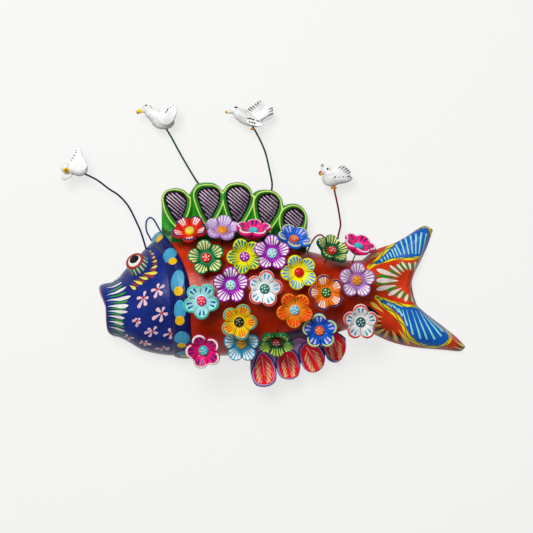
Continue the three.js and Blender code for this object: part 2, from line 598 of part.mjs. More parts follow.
// Tail: a solid slab from a round stalk out to two lobes
const TAIL_COLUMNS = 12;
const TAIL_ROWS = 16;
function tailCurve(points) {
  const places = points.map(([out, z]) => new THREE.Vector3(TAIL_X + out, 0, z));
  return new THREE.CatmullRomCurve3(places, false, 'centripetal');
}
const stalkRing = section(1, 0);
const tailTop = tailCurve([[0, stalkRing.middle + stalkRing.half], ...TAIL_TOP]);
const tailBottom = tailCurve([[0, stalkRing.middle - stalkRing.half], ...TAIL_BOTTOM]);
const tailEnd = tailCurve([TAIL_TOP[TAIL_TOP.length - 1], ...TAIL_FORK, TAIL_BOTTOM[TAIL_BOTTOM.length - 1]]);
function tailOutline(along, down) {
  const stalkTop = tailTop.getPoint(0);
  const stalkBottom = tailBottom.getPoint(0);
  const stalk = stalkTop.clone().lerp(stalkBottom, (1 - Math.cos(down * Math.PI)) / 2);
  const tips = tailEnd.getPoint(0).lerp(tailEnd.getPoint(1), down);
  const corners = stalkTop.lerp(stalkBottom, down).lerp(tips, along);
  const across = tailTop.getPoint(along).lerp(tailBottom.getPoint(along), down);
  return across.add(stalk.lerp(tailEnd.getPoint(down), along)).sub(corners);
}
function tailDepth(along, down) {
  const round = Math.sin(down * Math.PI);
  const stalk = stalkRing.depth * round;
  const fromSwell = (down - TAIL_SWELL_AT) / TAIL_SWELL_REACH;
  const swell = TAIL_LOWER_SWELL * Math.exp(-(fromSwell ** 2)) * Math.sin(along * Math.PI);
  const blade = TAIL_EDGE_DEPTH + (TAIL_LOBE_DEPTH - TAIL_EDGE_DEPTH) * Math.sqrt(round) + swell;
  const share = THREE.MathUtils.smoothstep(along, 0, TAIL_STALK_LENGTH);
  const rounded = blade * (1 - TAIL_TIP_THINNING * THREE.MathUtils.smoothstep(along, TAIL_TIP_START, 1));
  const least = TAIL_EDGE_DEPTH * Math.min((along * TAIL_COLUMNS) / 2, 1);
  return Math.max(THREE.MathUtils.lerp(stalk, rounded, share), least);
}
const tailFront = (along, down) => {
  const point = tailOutline(along, down);
  point.x += CLAY_JOINT_GAP * (1 - along);
  return point.setY(-tailDepth(along, down));
};
const tailBack = (along, down) => tailFront(along, down).setY(0);
const tail = toSolid(sheetSolid(TAIL_COLUMNS, TAIL_ROWS, tailFront, tailBack));
addPiece('tail', toGeometry(joined(tail, holes.trunk)), COLORS.body, PAINTED_CLAY);

// Fins are slabs with sunk teardrop panels, cut to sit on the body
const LOBE_STEPS = 7;
function archPoints(from, to, rise) {
  const chord = new THREE.LineCurve(new THREE.Vector2(...from), new THREE.Vector2(...to));
  return Array.from({ length: LOBE_STEPS }, (_, k) => {
    const turn = (Math.PI * k) / LOBE_STEPS;
    const point = chord.getPoint((1 - Math.cos(turn)) / 2);
    return point.setY(point.y + rise * Math.sin(turn));
  });
}

function lobes(notches, rises, sign) {
  return rises.flatMap((rise, k) => archPoints(notches[k], notches[k + 1], sign * rise));
}

function panelShape({ tip, left, top, right }) {
  const shape = new THREE.Shape();
  shape.moveTo(...tip);
  const toLeft = (tip[1] + left[1]) / 2;
  const toRight = (tip[1] + right[1]) / 2;
  shape.quadraticCurveTo(left[0], toLeft, ...left);
  shape.quadraticCurveTo(left[0], top[1], ...top);
  shape.quadraticCurveTo(right[0], top[1], ...right);
  shape.quadraticCurveTo(right[0], toRight, ...tip);
  return shape;
}

const PANEL_STEPS = 3;
function upright(geometry) {
  return geometry.rotateX(Math.PI / 2);
}

function finSolid(outline, panels, thick, bevel) {
  const slab = new THREE.ExtrudeGeometry(new THREE.Shape(outline), {
    depth: thick - 2 * bevel,
    bevelSize: bevel,
    bevelThickness: bevel,
    bevelOffset: -bevel,
    bevelSegments: 1,
    steps: 1,
  });
  slab.translate(0, 0, bevel);
  let solid = toSolid(upright(slab));
  for (const panel of panels) {
    const pocket = new THREE.ExtrudeGeometry(panelShape(panel), {
      depth: 2 * PANEL_SINK, bevelEnabled: false, curveSegments: PANEL_STEPS,
    });
    pocket.translate(0, 0, thick - PANEL_SINK);
    solid = solid.subtract(toSolid(upright(pocket)));
  }
  return solid;
}

const headSeat = bodyBlock(-1, 0, CLAY_JOINT_GAP, HEAD_COLUMNS, BODY_ROWS);
const seat = headSeat.add(bodyBlock(0, 1, CLAY_JOINT_GAP, TRUNK_COLUMNS, BODY_ROWS));
const bandSeatFront = (along, down) => {
  const across = 2 * along - 1;
  return bandPoint(across, down * Math.PI, valueAt(BAND_PROFILE, across) + CLAY_JOINT_GAP);
};
const bandSeatBack = (along, down) => bandSeatFront(along, down).setY(CLAY_WALL);
const bandSeat = toSolid(sheetSolid(BAND_COLUMNS, BODY_ROWS, bandSeatFront, bandSeatBack));

const dorsalFirst = DORSAL_NOTCHES[0];
const dorsalLast = DORSAL_NOTCHES[DORSAL_NOTCHES.length - 1];
const dorsalOutline = [
  new THREE.Vector2(dorsalFirst[0], DORSAL_FOOT_Z),
  ...lobes(DORSAL_NOTCHES, DORSAL_LOBE_RISE, 1),
  new THREE.Vector2(...dorsalLast),
  new THREE.Vector2(dorsalLast[0], DORSAL_FOOT_Z),
].reverse();
let dorsal = finSolid(dorsalOutline, DORSAL_PANELS, DORSAL_THICK, DORSAL_BEVEL);
dorsal = dorsal.translate([0, DORSAL_THICK - DORSAL_FRONT, 0]).subtract(seat).subtract(bandSeat);
addPiece('dorsal_fin', toGeometry(joined(dorsal, holes.dorsal)), COLORS.dorsal, PAINTED_CLAY);

const pelvicOutline = [
  ...PELVIC_TOP.map(([x, z]) => new THREE.Vector2(x, z)),
  ...lobes(PELVIC_NOTCHES, PELVIC_DROP, -1),
  new THREE.Vector2(...PELVIC_NOTCHES[PELVIC_NOTCHES.length - 1]),
].reverse();
const lean = new THREE.Matrix4().set(
  1, 0, 0, 0,
  PELVIC_LEAN_X, 1, PELVIC_LEAN_Z, 0,
  0, 0, 1, 0,
  0, 0, 0, 1,
);
const pelvicBlank = toGeometry(finSolid(pelvicOutline, PELVIC_PANELS, PELVIC_THICK, PELVIC_BEVEL));
pelvicBlank.applyMatrix4(lean);
const pelvicFrontLean = PELVIC_LEAN_X * PELVIC_FRONT_X + PELVIC_LEAN_Z * PELVIC_FRONT_Z;
pelvicBlank.translate(0, PELVIC_THICK - PELVIC_FRONT - pelvicFrontLean, 0);
addPiece('pelvic_fin', toGeometry(toSolid(pelvicBlank).subtract(seat)), COLORS.pelvic, PAINTED_CLAY);

export default fish;
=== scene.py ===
import math

import bmesh
import bpy
import numpy as np
from mathutils import Matrix, Vector
from mathutils.geometry import delaunay_2d_cdt


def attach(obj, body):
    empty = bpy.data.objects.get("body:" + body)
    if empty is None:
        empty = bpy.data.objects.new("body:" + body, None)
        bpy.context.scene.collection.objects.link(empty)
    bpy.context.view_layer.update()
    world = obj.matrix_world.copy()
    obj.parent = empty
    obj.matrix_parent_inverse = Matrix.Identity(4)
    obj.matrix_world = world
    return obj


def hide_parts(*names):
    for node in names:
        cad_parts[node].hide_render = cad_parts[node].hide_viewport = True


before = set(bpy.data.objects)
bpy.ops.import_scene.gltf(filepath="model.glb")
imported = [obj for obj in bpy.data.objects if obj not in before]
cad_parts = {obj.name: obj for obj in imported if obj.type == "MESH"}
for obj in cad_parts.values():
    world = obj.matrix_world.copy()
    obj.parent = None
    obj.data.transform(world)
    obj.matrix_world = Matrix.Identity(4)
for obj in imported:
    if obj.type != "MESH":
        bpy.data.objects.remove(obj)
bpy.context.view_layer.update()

# Head: a half-round shell of low-fired clay pressed in a mould, open at the mouth and at the back,
# with a stub eye luted on. Gloss paint covers the outside in fine strokes, and the inside is bare.
MM = 0.001
FAR = 9.0
CLAY_WALL = 6.0
GILL_X = -47.8
GILL_SWEEP = 21.9
GILL_CURL = 5.5
TAIL_X = 115.0
TOP_EDGE = [
    (-1, -51.6), (-0.9, -49.8), (-0.79, -48.6), (-0.72, -46), (-0.65, -42.8), (-0.55, -36.6),
    (-0.3, -22.8), (-0.12, -13), (0, -9.8), (0.1, -10.2), (0.2, -9.2), (0.35, -9.6), (0.5, -12.2),
    (0.65, -16.6), (0.8, -23.5), (0.92, -28.6), (1, -28.6),
]
BOTTOM_EDGE = [
    (-1, -97.6), (-0.9, -98.6), (-0.8, -101.2), (-0.7, -105), (-0.55, -110.4), (-0.3, -114.3), (0, -115.5),
    (0.2, -115.4), (0.35, -114), (0.5, -111), (0.65, -106.5), (0.8, -98), (0.92, -91.8), (1, -92.6),
]
DEPTH = [
    (-1, 28), (-0.8, 32), (-0.55, 38), (-0.3, 43), (0, 46), (0.2, 51), (0.35, 52), (0.5, 50), (0.65, 45),
    (0.8, 38), (0.92, 31), (1, 27),
]
MOUTH_EDGE = [
    (0, -124), (25, -122.4), (45, -120.3), (67, -117), (80, -115.4), (140, -115), (157, -114), (180, -111),
]
RIM_ROUND = 1.4
RIM_BARE = 1.6
# Size across and height of the swells that the mould leaves outside and the fingers inside
MOULD_SWELL = (22, 0.3)
FINGER_SWELL = (9, 0.7)


def value_at(pairs, place):
    """Smooth curve through pairs of place and value"""
    places, values = np.array(pairs, float).T
    k = np.clip(np.searchsorted(places, place) - 1, 0, len(places) - 2)
    before = np.maximum(np.arange(len(places)) - 1, 0)
    after = np.minimum(np.arange(len(places)) + 1, len(places) - 1)
    slope = (values[after] - values[before]) / (places[after] - places[before])
    span = places[k + 1] - places[k]
    t = np.clip((place - places[k]) / span, 0, 1)
    rise = t * t * (3 - 2 * t)
    bend = slope[k] * t * (1 - t) ** 2 + slope[k + 1] * t * t * (t - 1)
    return values[k] * (1 - rise) + values[k + 1] * rise + bend * span


def gill_x(angle):
    """Where head and trunk meet, swept forwards towards the top edge"""
    return GILL_X - GILL_SWEEP * ((1 + np.cos(angle)) / 2) ** GILL_CURL


def body_point(place, angle, grow):
    """The body surface: place -1 is the mouth, 0 the gill and 1 the tail; angle 0 is the top edge"""
    far = np.where(place < 0, value_at(MOUTH_EDGE, np.degrees(angle)), TAIL_X)
    x = gill_x(angle) + (far - gill_x(angle)) * np.abs(place)
    top = value_at(TOP_EDGE, place)
    bottom = value_at(BOTTOM_EDGE, place)
    z = (top + bottom) / 2 + ((top - bottom) / 2 + grow) * np.cos(angle)
    return np.stack([x, -(value_at(DEPTH, place) + grow) * np.sin(angle), z], -1)


def uneven(points, size):
    """Slow swells left in soft clay by the hands, from -1 to 1, for swells about size mm across"""
    waves = [(1.0, 0.3, 0.5, 0.4), (-0.4, 0.9, 0.8, 2.1), (0.6, -0.7, 1.1, 4.0), (1.3, 0.5, -0.8, 5.3)]
    turns = [np.sin((points @ np.array(wave[:3])) * 2.6 / size + wave[3]) for wave in waves]
    return sum(turns) / len(waves)


def shell_rows(count):
    """Angles from the top edge to the bottom edge, and how far the rounded back rim sinks at each"""
    turn = np.radians([0, 30, 60])
    edge = RIM_ROUND / DEPTH[4][1]
    start = edge * (1 - np.cos(turn))
    sink = RIM_ROUND * (1 - np.sin(turn))
    angles = [start, np.linspace(edge, math.pi - edge, count), math.pi - start[::-1]]
    return np.concatenate(angles), np.concatenate([sink, np.zeros(count), sink[::-1]])


def body_shell(places, fullness, rows):
    """Outer and inner sheets of a half-round shell; fullness 0 closes the wall at a column"""
    angles, sink = shell_rows(rows)
    place, angle = np.meshgrid(places, angles, indexing="ij")
    full = np.array(fullness)[:, None]
    closing = sink[None, :] * full + (1 - full) * CLAY_WALL / 2
    skin = body_point(place, angle, 0)
    outside, inside = (uneven(skin, size) * high * full for size, high in (MOULD_SWELL, FINGER_SWELL))
    outer = body_point(place, angle, outside - closing)
    inner = body_point(place, angle, inside - CLAY_WALL + closing)
    return outer, inner


def tidy(mesh, sharp=50):
    """Welds the seams of a closed mesh, turns its faces outwards and shades it smooth"""
    work = bmesh.new()
    work.from_mesh(mesh)
    bmesh.ops.remove_doubles(work, verts=work.verts, dist=0.02 * MM)
    bmesh.ops.recalc_face_normals(work, faces=work.faces)
    work.to_mesh(mesh)
    work.free()
    mesh.shade_smooth()
    mesh.set_sharp_from_angle(angle=math.radians(sharp))


def set_fields(mesh, fields):
    """Numbers kept at every point of a mesh, for its paint to read"""
    for name, values in fields.items():
        layer = mesh.attributes.new(name, "FLOAT", "POINT")
        layer.data.foreach_set("value", np.asarray(values, np.float32).ravel())


def grid_faces(columns, rows):
    """The point numbers of a grid, and its faces"""
    index = np.arange(columns * rows).reshape(columns, rows)
    corners = [index[:-1, :-1], index[:-1, 1:], index[1:, 1:], index[1:, :-1]]
    return index, np.stack(corners, -1).reshape(-1, 4)


def clay_piece(name, front, back, fields, bare):
    """A closed piece between a painted front sheet and a bare back sheet, both in mm"""
    index, sheet = grid_faces(*front.shape[:2])
    count = index.size
    border = np.concatenate([index[:, 0], index[-1, 1:], index[-2::-1, -1], index[0, -2:0:-1]])
    after = np.roll(border, -1)
    walls = np.stack([border, after, after + count, border + count], -1)
    mesh = bpy.data.meshes.new(name)
    points = np.concatenate([front.reshape(-1, 3), back.reshape(-1, 3)])
    mesh.from_pydata(points * MM, [], np.concatenate([sheet, sheet[:, ::-1] + count, walls]))
    plain = np.full(count, FAR)
    fields = {**fields, "bare": bare}
    set_fields(mesh, {field: np.concatenate([values.ravel(), plain]) for field, values in fields.items()})
    tidy(mesh)
    return show(name, mesh)


def show(name, made):
    """An object for a mesh, a light or a camera"""
    piece = bpy.data.objects.new(name, made)
    bpy.context.collection.objects.link(piece)
    return piece


def walked(points):
    """The way along each line of points, up to each point"""
    steps = np.linalg.norm(np.diff(points, axis=-2), axis=-1)
    return np.concatenate([np.zeros((*steps.shape[:-1], 1)), np.cumsum(steps, axis=-1)], axis=-1)


def unrolled(front):
    """Brush coordinates on a sheet, in mm: x, and the way round upwards from the middle row"""
    way = walked(front)
    middle = way[:, front.shape[1] // 2]
    return np.stack([front[..., 0], middle[:, None] - way], -1)


def spots(front, flat, seen):
    """Brush coordinates of places given by x and z as seen from the front"""
    seen = np.array(seen, float).reshape(-1, 2)
    sheet = front.reshape(-1, 3)[:, [0, 2]]
    nearest = [np.argmin(((sheet - place) ** 2).sum(1)) for place in seen]
    return flat.reshape(-1, 2)[nearest]


def strokes(flat, starts, ends, thin, fat):
    """Distance outside the nearest brush stroke, which runs from a thin start to a fat end"""
    field = np.full(flat.shape[:-1], FAR)
    radii = zip(np.broadcast_to(thin, len(starts)), np.broadcast_to(fat, len(starts)))
    for start, end, (r1, r2) in zip(starts, ends, radii):
        length = np.linalg.norm(end - start)
        if length < 1e-6:
            continue
        ahead = (end - start) / length
        along = (flat - start) @ ahead
        aside = np.abs((flat - start) @ np.array([-ahead[1], ahead[0]]))
        lean = np.clip((r1 - r2) / length, -0.99, 0.99)
        flank = math.sqrt(1 - lean * lean)
        where = along * flank - aside * lean
        round_start = np.hypot(along, aside) - r1
        round_end = np.hypot(along - length, aside) - r2
        side = aside * flank + along * lean - r1
        part = np.where(where < 0, round_start, np.where(where > flank * length, round_end, side))
        field = np.minimum(field, part)
    return field


def lenses(flat, starts, ends, fat):
    """Distance outside the nearest dab of a pointed brush, fattest near its end"""
    field = np.full(flat.shape[:-1], FAR)
    for start, end, half in zip(starts, ends, np.broadcast_to(fat, len(starts))):
        length = np.linalg.norm(end - start)
        ahead = (end - start) / length
        along = (flat - start) @ ahead / length
        aside = np.abs((flat - start) @ np.array([-ahead[1], ahead[0]]))
        beyond = np.maximum(np.abs(along - 0.5) - 0.5, 0) * length
        width = half * np.sin(math.pi * np.clip(along, 0, 1) ** 2.1) ** 0.62
        field = np.minimum(field, np.where(beyond > 0, np.hypot(beyond, aside), aside - width))
    return field


def ovals(flat, centres, wide, high, turns):
    """Distance outside the nearest oval dab"""
    field = np.full(flat.shape[:-1], FAR)
    sizes = [np.broadcast_to(size, len(centres)) for size in (wide, high, turns)]
    for centre, a, b, turn in zip(centres, *sizes):
        cos, sin = math.cos(math.radians(turn)), math.sin(math.radians(turn))
        u, v = np.moveaxis((flat - centre) @ np.array([[cos, -sin], [sin, cos]]), -1, 0)
        field = np.minimum(field, (np.hypot(u / a, v / b) - 1) * min(a, b))
    return field


def seen_ovals(front, flat, rows):
    """Distance outside oval dabs given by x, z, half width, half height and turn"""
    rows = np.array(rows, float)
    return ovals(flat, spots(front, flat, rows[:, :2]), *rows[:, 2:].T)


def srgb(code, light=1.0):
    """Linear colour of a hex code, made lighter or darker"""
    parts = [int(code[k:k + 2], 16) / 255 for k in (0, 2, 4)]
    parts = [p / 12.92 if p < 0.04045 else ((p + 0.055) / 1.055) ** 2.4 for p in parts]
    return [min(p * light, 1) for p in parts] + [1]


def add(tree, kind, inputs=None, **settings):
    """A shader or geometry node with its settings made and its inputs filled or linked"""
    node = tree.nodes.new(kind)
    for key, value in settings.items():
        setattr(node, key, value)
    for key, value in (inputs or {}).items():
        if isinstance(value, bpy.types.NodeSocket):
            tree.links.new(value, node.inputs[key])
        else:
            node.inputs[key].default_value = value
    return node


def maths(tree, operation, a, b=0.0, c=0.0):
    return add(tree, "ShaderNodeMath", {0: a, 1: b, 2: c}, operation=operation).outputs[0]


def blend(tree, share, a, b):
    return add(tree, "ShaderNodeMix", {0: share, 6: a, 7: b}, data_type="RGBA").outputs[2]


def rescale(tree, value, low, high, to_low=0.0, to_high=1.0):
    return add(tree, "ShaderNodeMapRange", {0: value, 1: low, 2: high, 3: to_low, 4: to_high}).outputs[0]


def noise(tree, place, scale, detail, stretch=(1, 1, 1)):
    """Soft blotches over the piece, about scale of them to a metre"""
    mapped = add(tree, "ShaderNodeMapping", {"Vector": place, "Scale": stretch}).outputs[0]
    return add(tree, "ShaderNodeTexNoise", {"Vector": mapped, "Scale": scale, "Detail": detail}).outputs[0]


def field_value(tree, field):
    return add(tree, "ShaderNodeAttribute", attribute_name=field).outputs["Fac"]


def new_material(name):
    """A material, its node tree, its shader and the place on the piece"""
    material = bpy.data.materials.new(name)
    material.use_nodes = True
    tree = material.node_tree
    return material, tree, tree.nodes["Principled BSDF"], add(tree, "ShaderNodeTexCoord").outputs["Object"]


TERRACOTTA = "B06A45"
TERRACOTTA_DARK = "8A4A2E"
PAINT_EDGE = 0.07
PAINT_ROUGHNESS = 0.27
PAINT_SPECULAR = 0.22


def painted(name, coat, layers, wobble, clay=True):
    """Gloss paint on fired clay: a brushed ground coat, then each layer of strokes over it, by hex codes"""
    material, tree, shader, place = new_material(name)
    # The coat's thickness drifts, the brush leaves streaks, and the edges of strokes shake
    drift = noise(tree, place, 60, 3)
    streak = noise(tree, place, 240, 3, (1, 1, 0.35))
    shake = maths(tree, "MULTIPLY_ADD", noise(tree, place, 420, 2), wobble, -wobble / 2)
    light, dark = srgb(coat, 1.16), srgb(coat, 0.72)
    color = blend(tree, rescale(tree, drift, 0.35, 0.65), dark, light)
    color = blend(tree, rescale(tree, streak, 0.55, 0.8, 0, 0.35), color, light)
    height = maths(tree, "MULTIPLY", noise(tree, place, 150, 3), 0.25)
    for field, code, *light in layers:
        distance = maths(tree, "ADD", field_value(tree, field), shake)
        mask = rescale(tree, distance, -PAINT_EDGE, PAINT_EDGE, 1, 0)
        full = srgb(code, *light)
        deep = [c * 0.82 for c in full[:3]] + [1]
        color = blend(tree, mask, color, blend(tree, rescale(tree, streak, 0.35, 0.6), deep, full))
        raised = rescale(tree, distance, -0.35, PAINT_EDGE, 1, 0)
        height = maths(tree, "MULTIPLY_ADD", raised, 0.07, height)
    height = maths(tree, "MULTIPLY_ADD", noise(tree, place, 900, 2), 0.055, height)
    patchy = noise(tree, place, 320, 2)
    rough = rescale(tree, patchy, 0.3, 0.7, PAINT_ROUGHNESS - 0.07, PAINT_ROUGHNESS + 0.11)
    if clay:
        ragged = maths(tree, "MULTIPLY_ADD", noise(tree, place, 260, 4), 3.0, -1.5)
        rim = maths(tree, "ADD", field_value(tree, "bare"), ragged)
        unpainted = rescale(tree, rim, -0.15, 0.15)
        earth = blend(tree, noise(tree, place, 90, 6), srgb(TERRACOTTA_DARK), srgb(TERRACOTTA))
        color = blend(tree, unpainted, color, earth)
        rough = maths(tree, "MAXIMUM", rough, maths(tree, "MULTIPLY", unpainted, 0.82))
        grit = maths(tree, "MULTIPLY", noise(tree, place, 1500, 5), unpainted)
        height = maths(tree, "MULTIPLY_ADD", grit, 0.25, height)
    bump = add(tree, "ShaderNodeBump", {"Height": height, "Strength": 0.9, "Distance": MM})
    tree.links.new(color, shader.inputs["Base Color"])
    tree.links.new(rough, shader.inputs["Roughness"])
    tree.links.new(bump.outputs[0], shader.inputs["Normal"])
    shader.inputs["Specular IOR Level"].default_value = PAINT_SPECULAR
    return material


def rim_distance(outer):
    """Mm of clay left before the back rim, negative where paint holds"""
    way = walked(outer)
    return RIM_BARE - np.minimum(way, way[:, -1:] - way)


def towards(angle):
    """Rays of length 1 at angles in radians"""
    return np.stack([np.cos(angle), np.sin(angle)], -1)


def unit(vector):
    return np.array(vector, float) / np.linalg.norm(vector)


HEAD_LENGTH = 62
HEAD_COLUMNS = 118
HEAD_ROWS = 240
turn = np.radians([0, 15, 30, 45, 60, 75, 90])
lip = CLAY_WALL / 2 / HEAD_LENGTH
head_places = np.concatenate([-1 + lip * (1 - np.cos(turn)), np.linspace(-1 + lip, 0, HEAD_COLUMNS)[1:], [0]])
head_fullness = np.concatenate([np.sin(turn), np.ones(HEAD_COLUMNS - 1), [0]])
head_outer, head_inner = body_shell(head_places, head_fullness, HEAD_ROWS)
head_flat = unrolled(head_outer)

# Dabs as start and end, both x and z, and greatest half width
MOUTH_WHITE = [
    (-119, -48.4, -101.6, -40.6, 0.9), (-121.9, -50.6, -101.8, -42.6, 1),
    (-117.3, -54.2, -101.4, -48.4, 1.3), (-115.7, -61.1, -97, -52.4, 1.4),
    (-115.7, -65.4, -92.1, -60.5, 1.75), (-113.6, -70.1, -93.9, -68.8, 1.75),
    (-113.6, -74.4, -94.3, -74.6, 1.2), (-113.6, -78.4, -97.3, -80.3, 1.25),
    (-113.6, -83.2, -98.3, -85.5, 1.3), (-113.6, -88.2, -97.6, -92, 1.3),
]
MOUTH_GREEN = [
    (-119.5, -52.7, -102, -45.9, 0.7), (-115.8, -58.3, -100.5, -50.9, 1.1),
    (-115, -62.8, -96.4, -57.2, 1.1), (-113.2, -67.4, -94.4, -64.9, 1), (-113.2, -72.1, -95.7, -71.4, 0.9),
    (-113, -76.2, -99.7, -77.1, 0.9), (-113, -80.8, -98.1, -83.4, 1.05), (-113, -85.7, -97.9, -88.4, 1),
    (-112.8, -89.8, -98.9, -94.9, 1.05), (-112.2, -92.8, -102.2, -96.6, 0.95),
    (-110.2, -95.5, -104, -98.8, 0.8),
]
ARC_YELLOW = [
    (-92.9, -51.5, -87.8, -54.5, 1.15), (-89.3, -47.5, -81.5, -49.9, 1.15),
    (-84.2, -43.9, -76.5, -45.7, 1.2), (-79.2, -40.8, -67.8, -40.2, 1.35),
    (-73.5, -35.6, -68.3, -34.2, 1.2), (-73, -30.4, -69.2, -29.4, 0.95), (-74.2, -26.6, -70.8, -26, 0.7),
    (-75.2, -23.5, -72.4, -23.1, 0.6), (-76.6, -21.2, -74.4, -20.8, 0.5),
]
ARC_RED = [
    (-91.8, -49.1, -85.5, -52.2, 0.9), (-87.1, -46.1, -79.4, -48.3, 1), (-81.8, -42, -71, -43.9, 1.1),
    (-75.3, -37, -69.2, -36.8, 0.95), (-73, -32.8, -68.2, -31.4, 0.95), (-73.6, -28.5, -69.9, -27.6, 0.75),
    (-74.6, -25.1, -71.4, -24.6, 0.6), (-75.8, -22.4, -73.4, -22, 0.5), (-77.6, -19.9, -75.6, -19.6, 0.45),
]
# Blossoms as the x and z of the heart, and each petal's turn and length
BLOSSOMS = [
    (-67.3, -54.4, [(85, 4.6), (10, 5.7), (-58, 6.8), (-111, 6.6), (172, 5.7)]),
    (-80.4, -62, [(76, 5.3), (-16, 4.4), (-73, 7.1), (-122, 8.3), (168, 5.9)]),
    (-64, -75.3, [(130, 6.8), (66, 4.8), (-34, 5.7), (-96, 7.3), (-163, 8.3)]),
    (-86.4, -82.4, [(116, 3), (26, 3.3), (-45, 4.2), (-93, 5.4), (168, 4.3)]),
    (-72.3, -91.6, [(134, 5.5), (47, 5), (-41, 5.5), (-122, 5.7), (177, 7)]),
    (-56.5, -93.6, [(101, 5.3), (20, 4.6), (-40, 5), (180, 6.2), (-92, 6)]),
    (-81.1, -102.5, [(125, 3.9), (31, 3.9), (-33, 7.3), (-75, 5), (185, 4.2)]),
    (-63.7, -107.7, [(87, 4), (-7, 5.3), (-41, 6.1), (-133, 5), (165, 7.7)]),
    (-95.5, -97.6, [(111, 4), (-4, 5.2), (-80, 5), (190, 4)]),
]


DAB_PLUMP = 1.1
ARC_REACH = 1.25
HEART_GAP = 0.6


def seen_lenses(rows, reach=1.0):
    """Dabs placed as seen from the front, each drawn out backwards to reach times its length"""
    rows = np.array(rows, float)
    rows[:, :2] = rows[:, 2:4] + (rows[:, :2] - rows[:, 2:4]) * reach
    starts, ends = (spots(head_outer, head_flat, rows[:, k:k + 2]) for k in (0, 2))
    return lenses(head_flat, starts, ends, rows[:, 4] * DAB_PLUMP)


blossom_hearts = spots(head_outer, head_flat, [blossom[:2] for blossom in BLOSSOMS])
petal_starts = []
petal_ends = []
for heart, (_, _, petals) in zip(blossom_hearts, BLOSSOMS):
    for petal_turn, petal_length in petals:
        ray = towards(math.radians(petal_turn))
        petal_starts.append(heart + ray * HEART_GAP)
        petal_ends.append(heart + ray * (petal_length - 1))
petal_fat = 0.9 + 0.14 * np.linalg.norm(np.array(petal_ends) - np.array(petal_starts), axis=1)

lip_edge = np.broadcast_to((1 - head_fullness)[:, None] * 4, head_outer.shape[:2])
head_fields = {
    "white": seen_lenses(MOUTH_WHITE),
    "green": seen_lenses(MOUTH_GREEN),
    "yellow": seen_lenses(ARC_YELLOW, ARC_REACH),
    "russet": seen_lenses(ARC_RED, ARC_REACH),
    "petal": strokes(head_flat, petal_starts, petal_ends, 0.2, petal_fat),
    "heart": ovals(head_flat, blossom_hearts, 1.35, 1.15, 20),
    "lip": 1.5 - lip_edge,
}
head = clay_piece("head_clay", head_outer, head_inner, head_fields, rim_distance(head_outer))
head_paint = painted("head_blue_gloss", "152A7C", [
    ("green", "3F9A38"), ("white", "F1EEE6"), ("russet", "A33A22"), ("yellow", "F4E24A"),
    ("petal", "F3C9D4"), ("heart", "C8241E"), ("lip", "D9826E"),
], wobble=0.2)
head.data.materials.append(head_paint)

EYE_X, EYE_Z = -89.5, -29
EYE_RISE = 8
EYE_FACING = unit([-0.39, -0.73, 0.56])
EYE_SIDES = 132
# The boss turned about its axis, as radius and height from its foot to the middle of its face
EYE_PROFILE = [
    (12.9, -0.5), (12.2, 0), (11.5, 0.35), (10.9, 1), (10.5, 2), (10.1, 3.2), (9.7, 4.5), (9.3, 5.6),
    (8.9, 6.6), (8.6, 7.2), (8.45, 7.6), (8.25, 7.95), (7.9, 8.15), (7.5, 8.2), (7.1, 8.1), (6.8, 7.9),
    (6.5, 7.8), (6, 7.78), (5.4, 7.8), (4.6, 7.84), (3.6, 7.9), (2.4, 7.96), (1.2, 8), (0.05, 8),
]
EYE_STROKES = 16
FACE_HEIGHT = 7.7
RED_RIM_HEIGHT = 7.05
BALL_RADIUS = 6.15
PUPIL_RADIUS = 4.5
PUPIL_OFF = np.array([0.7, 1.6])


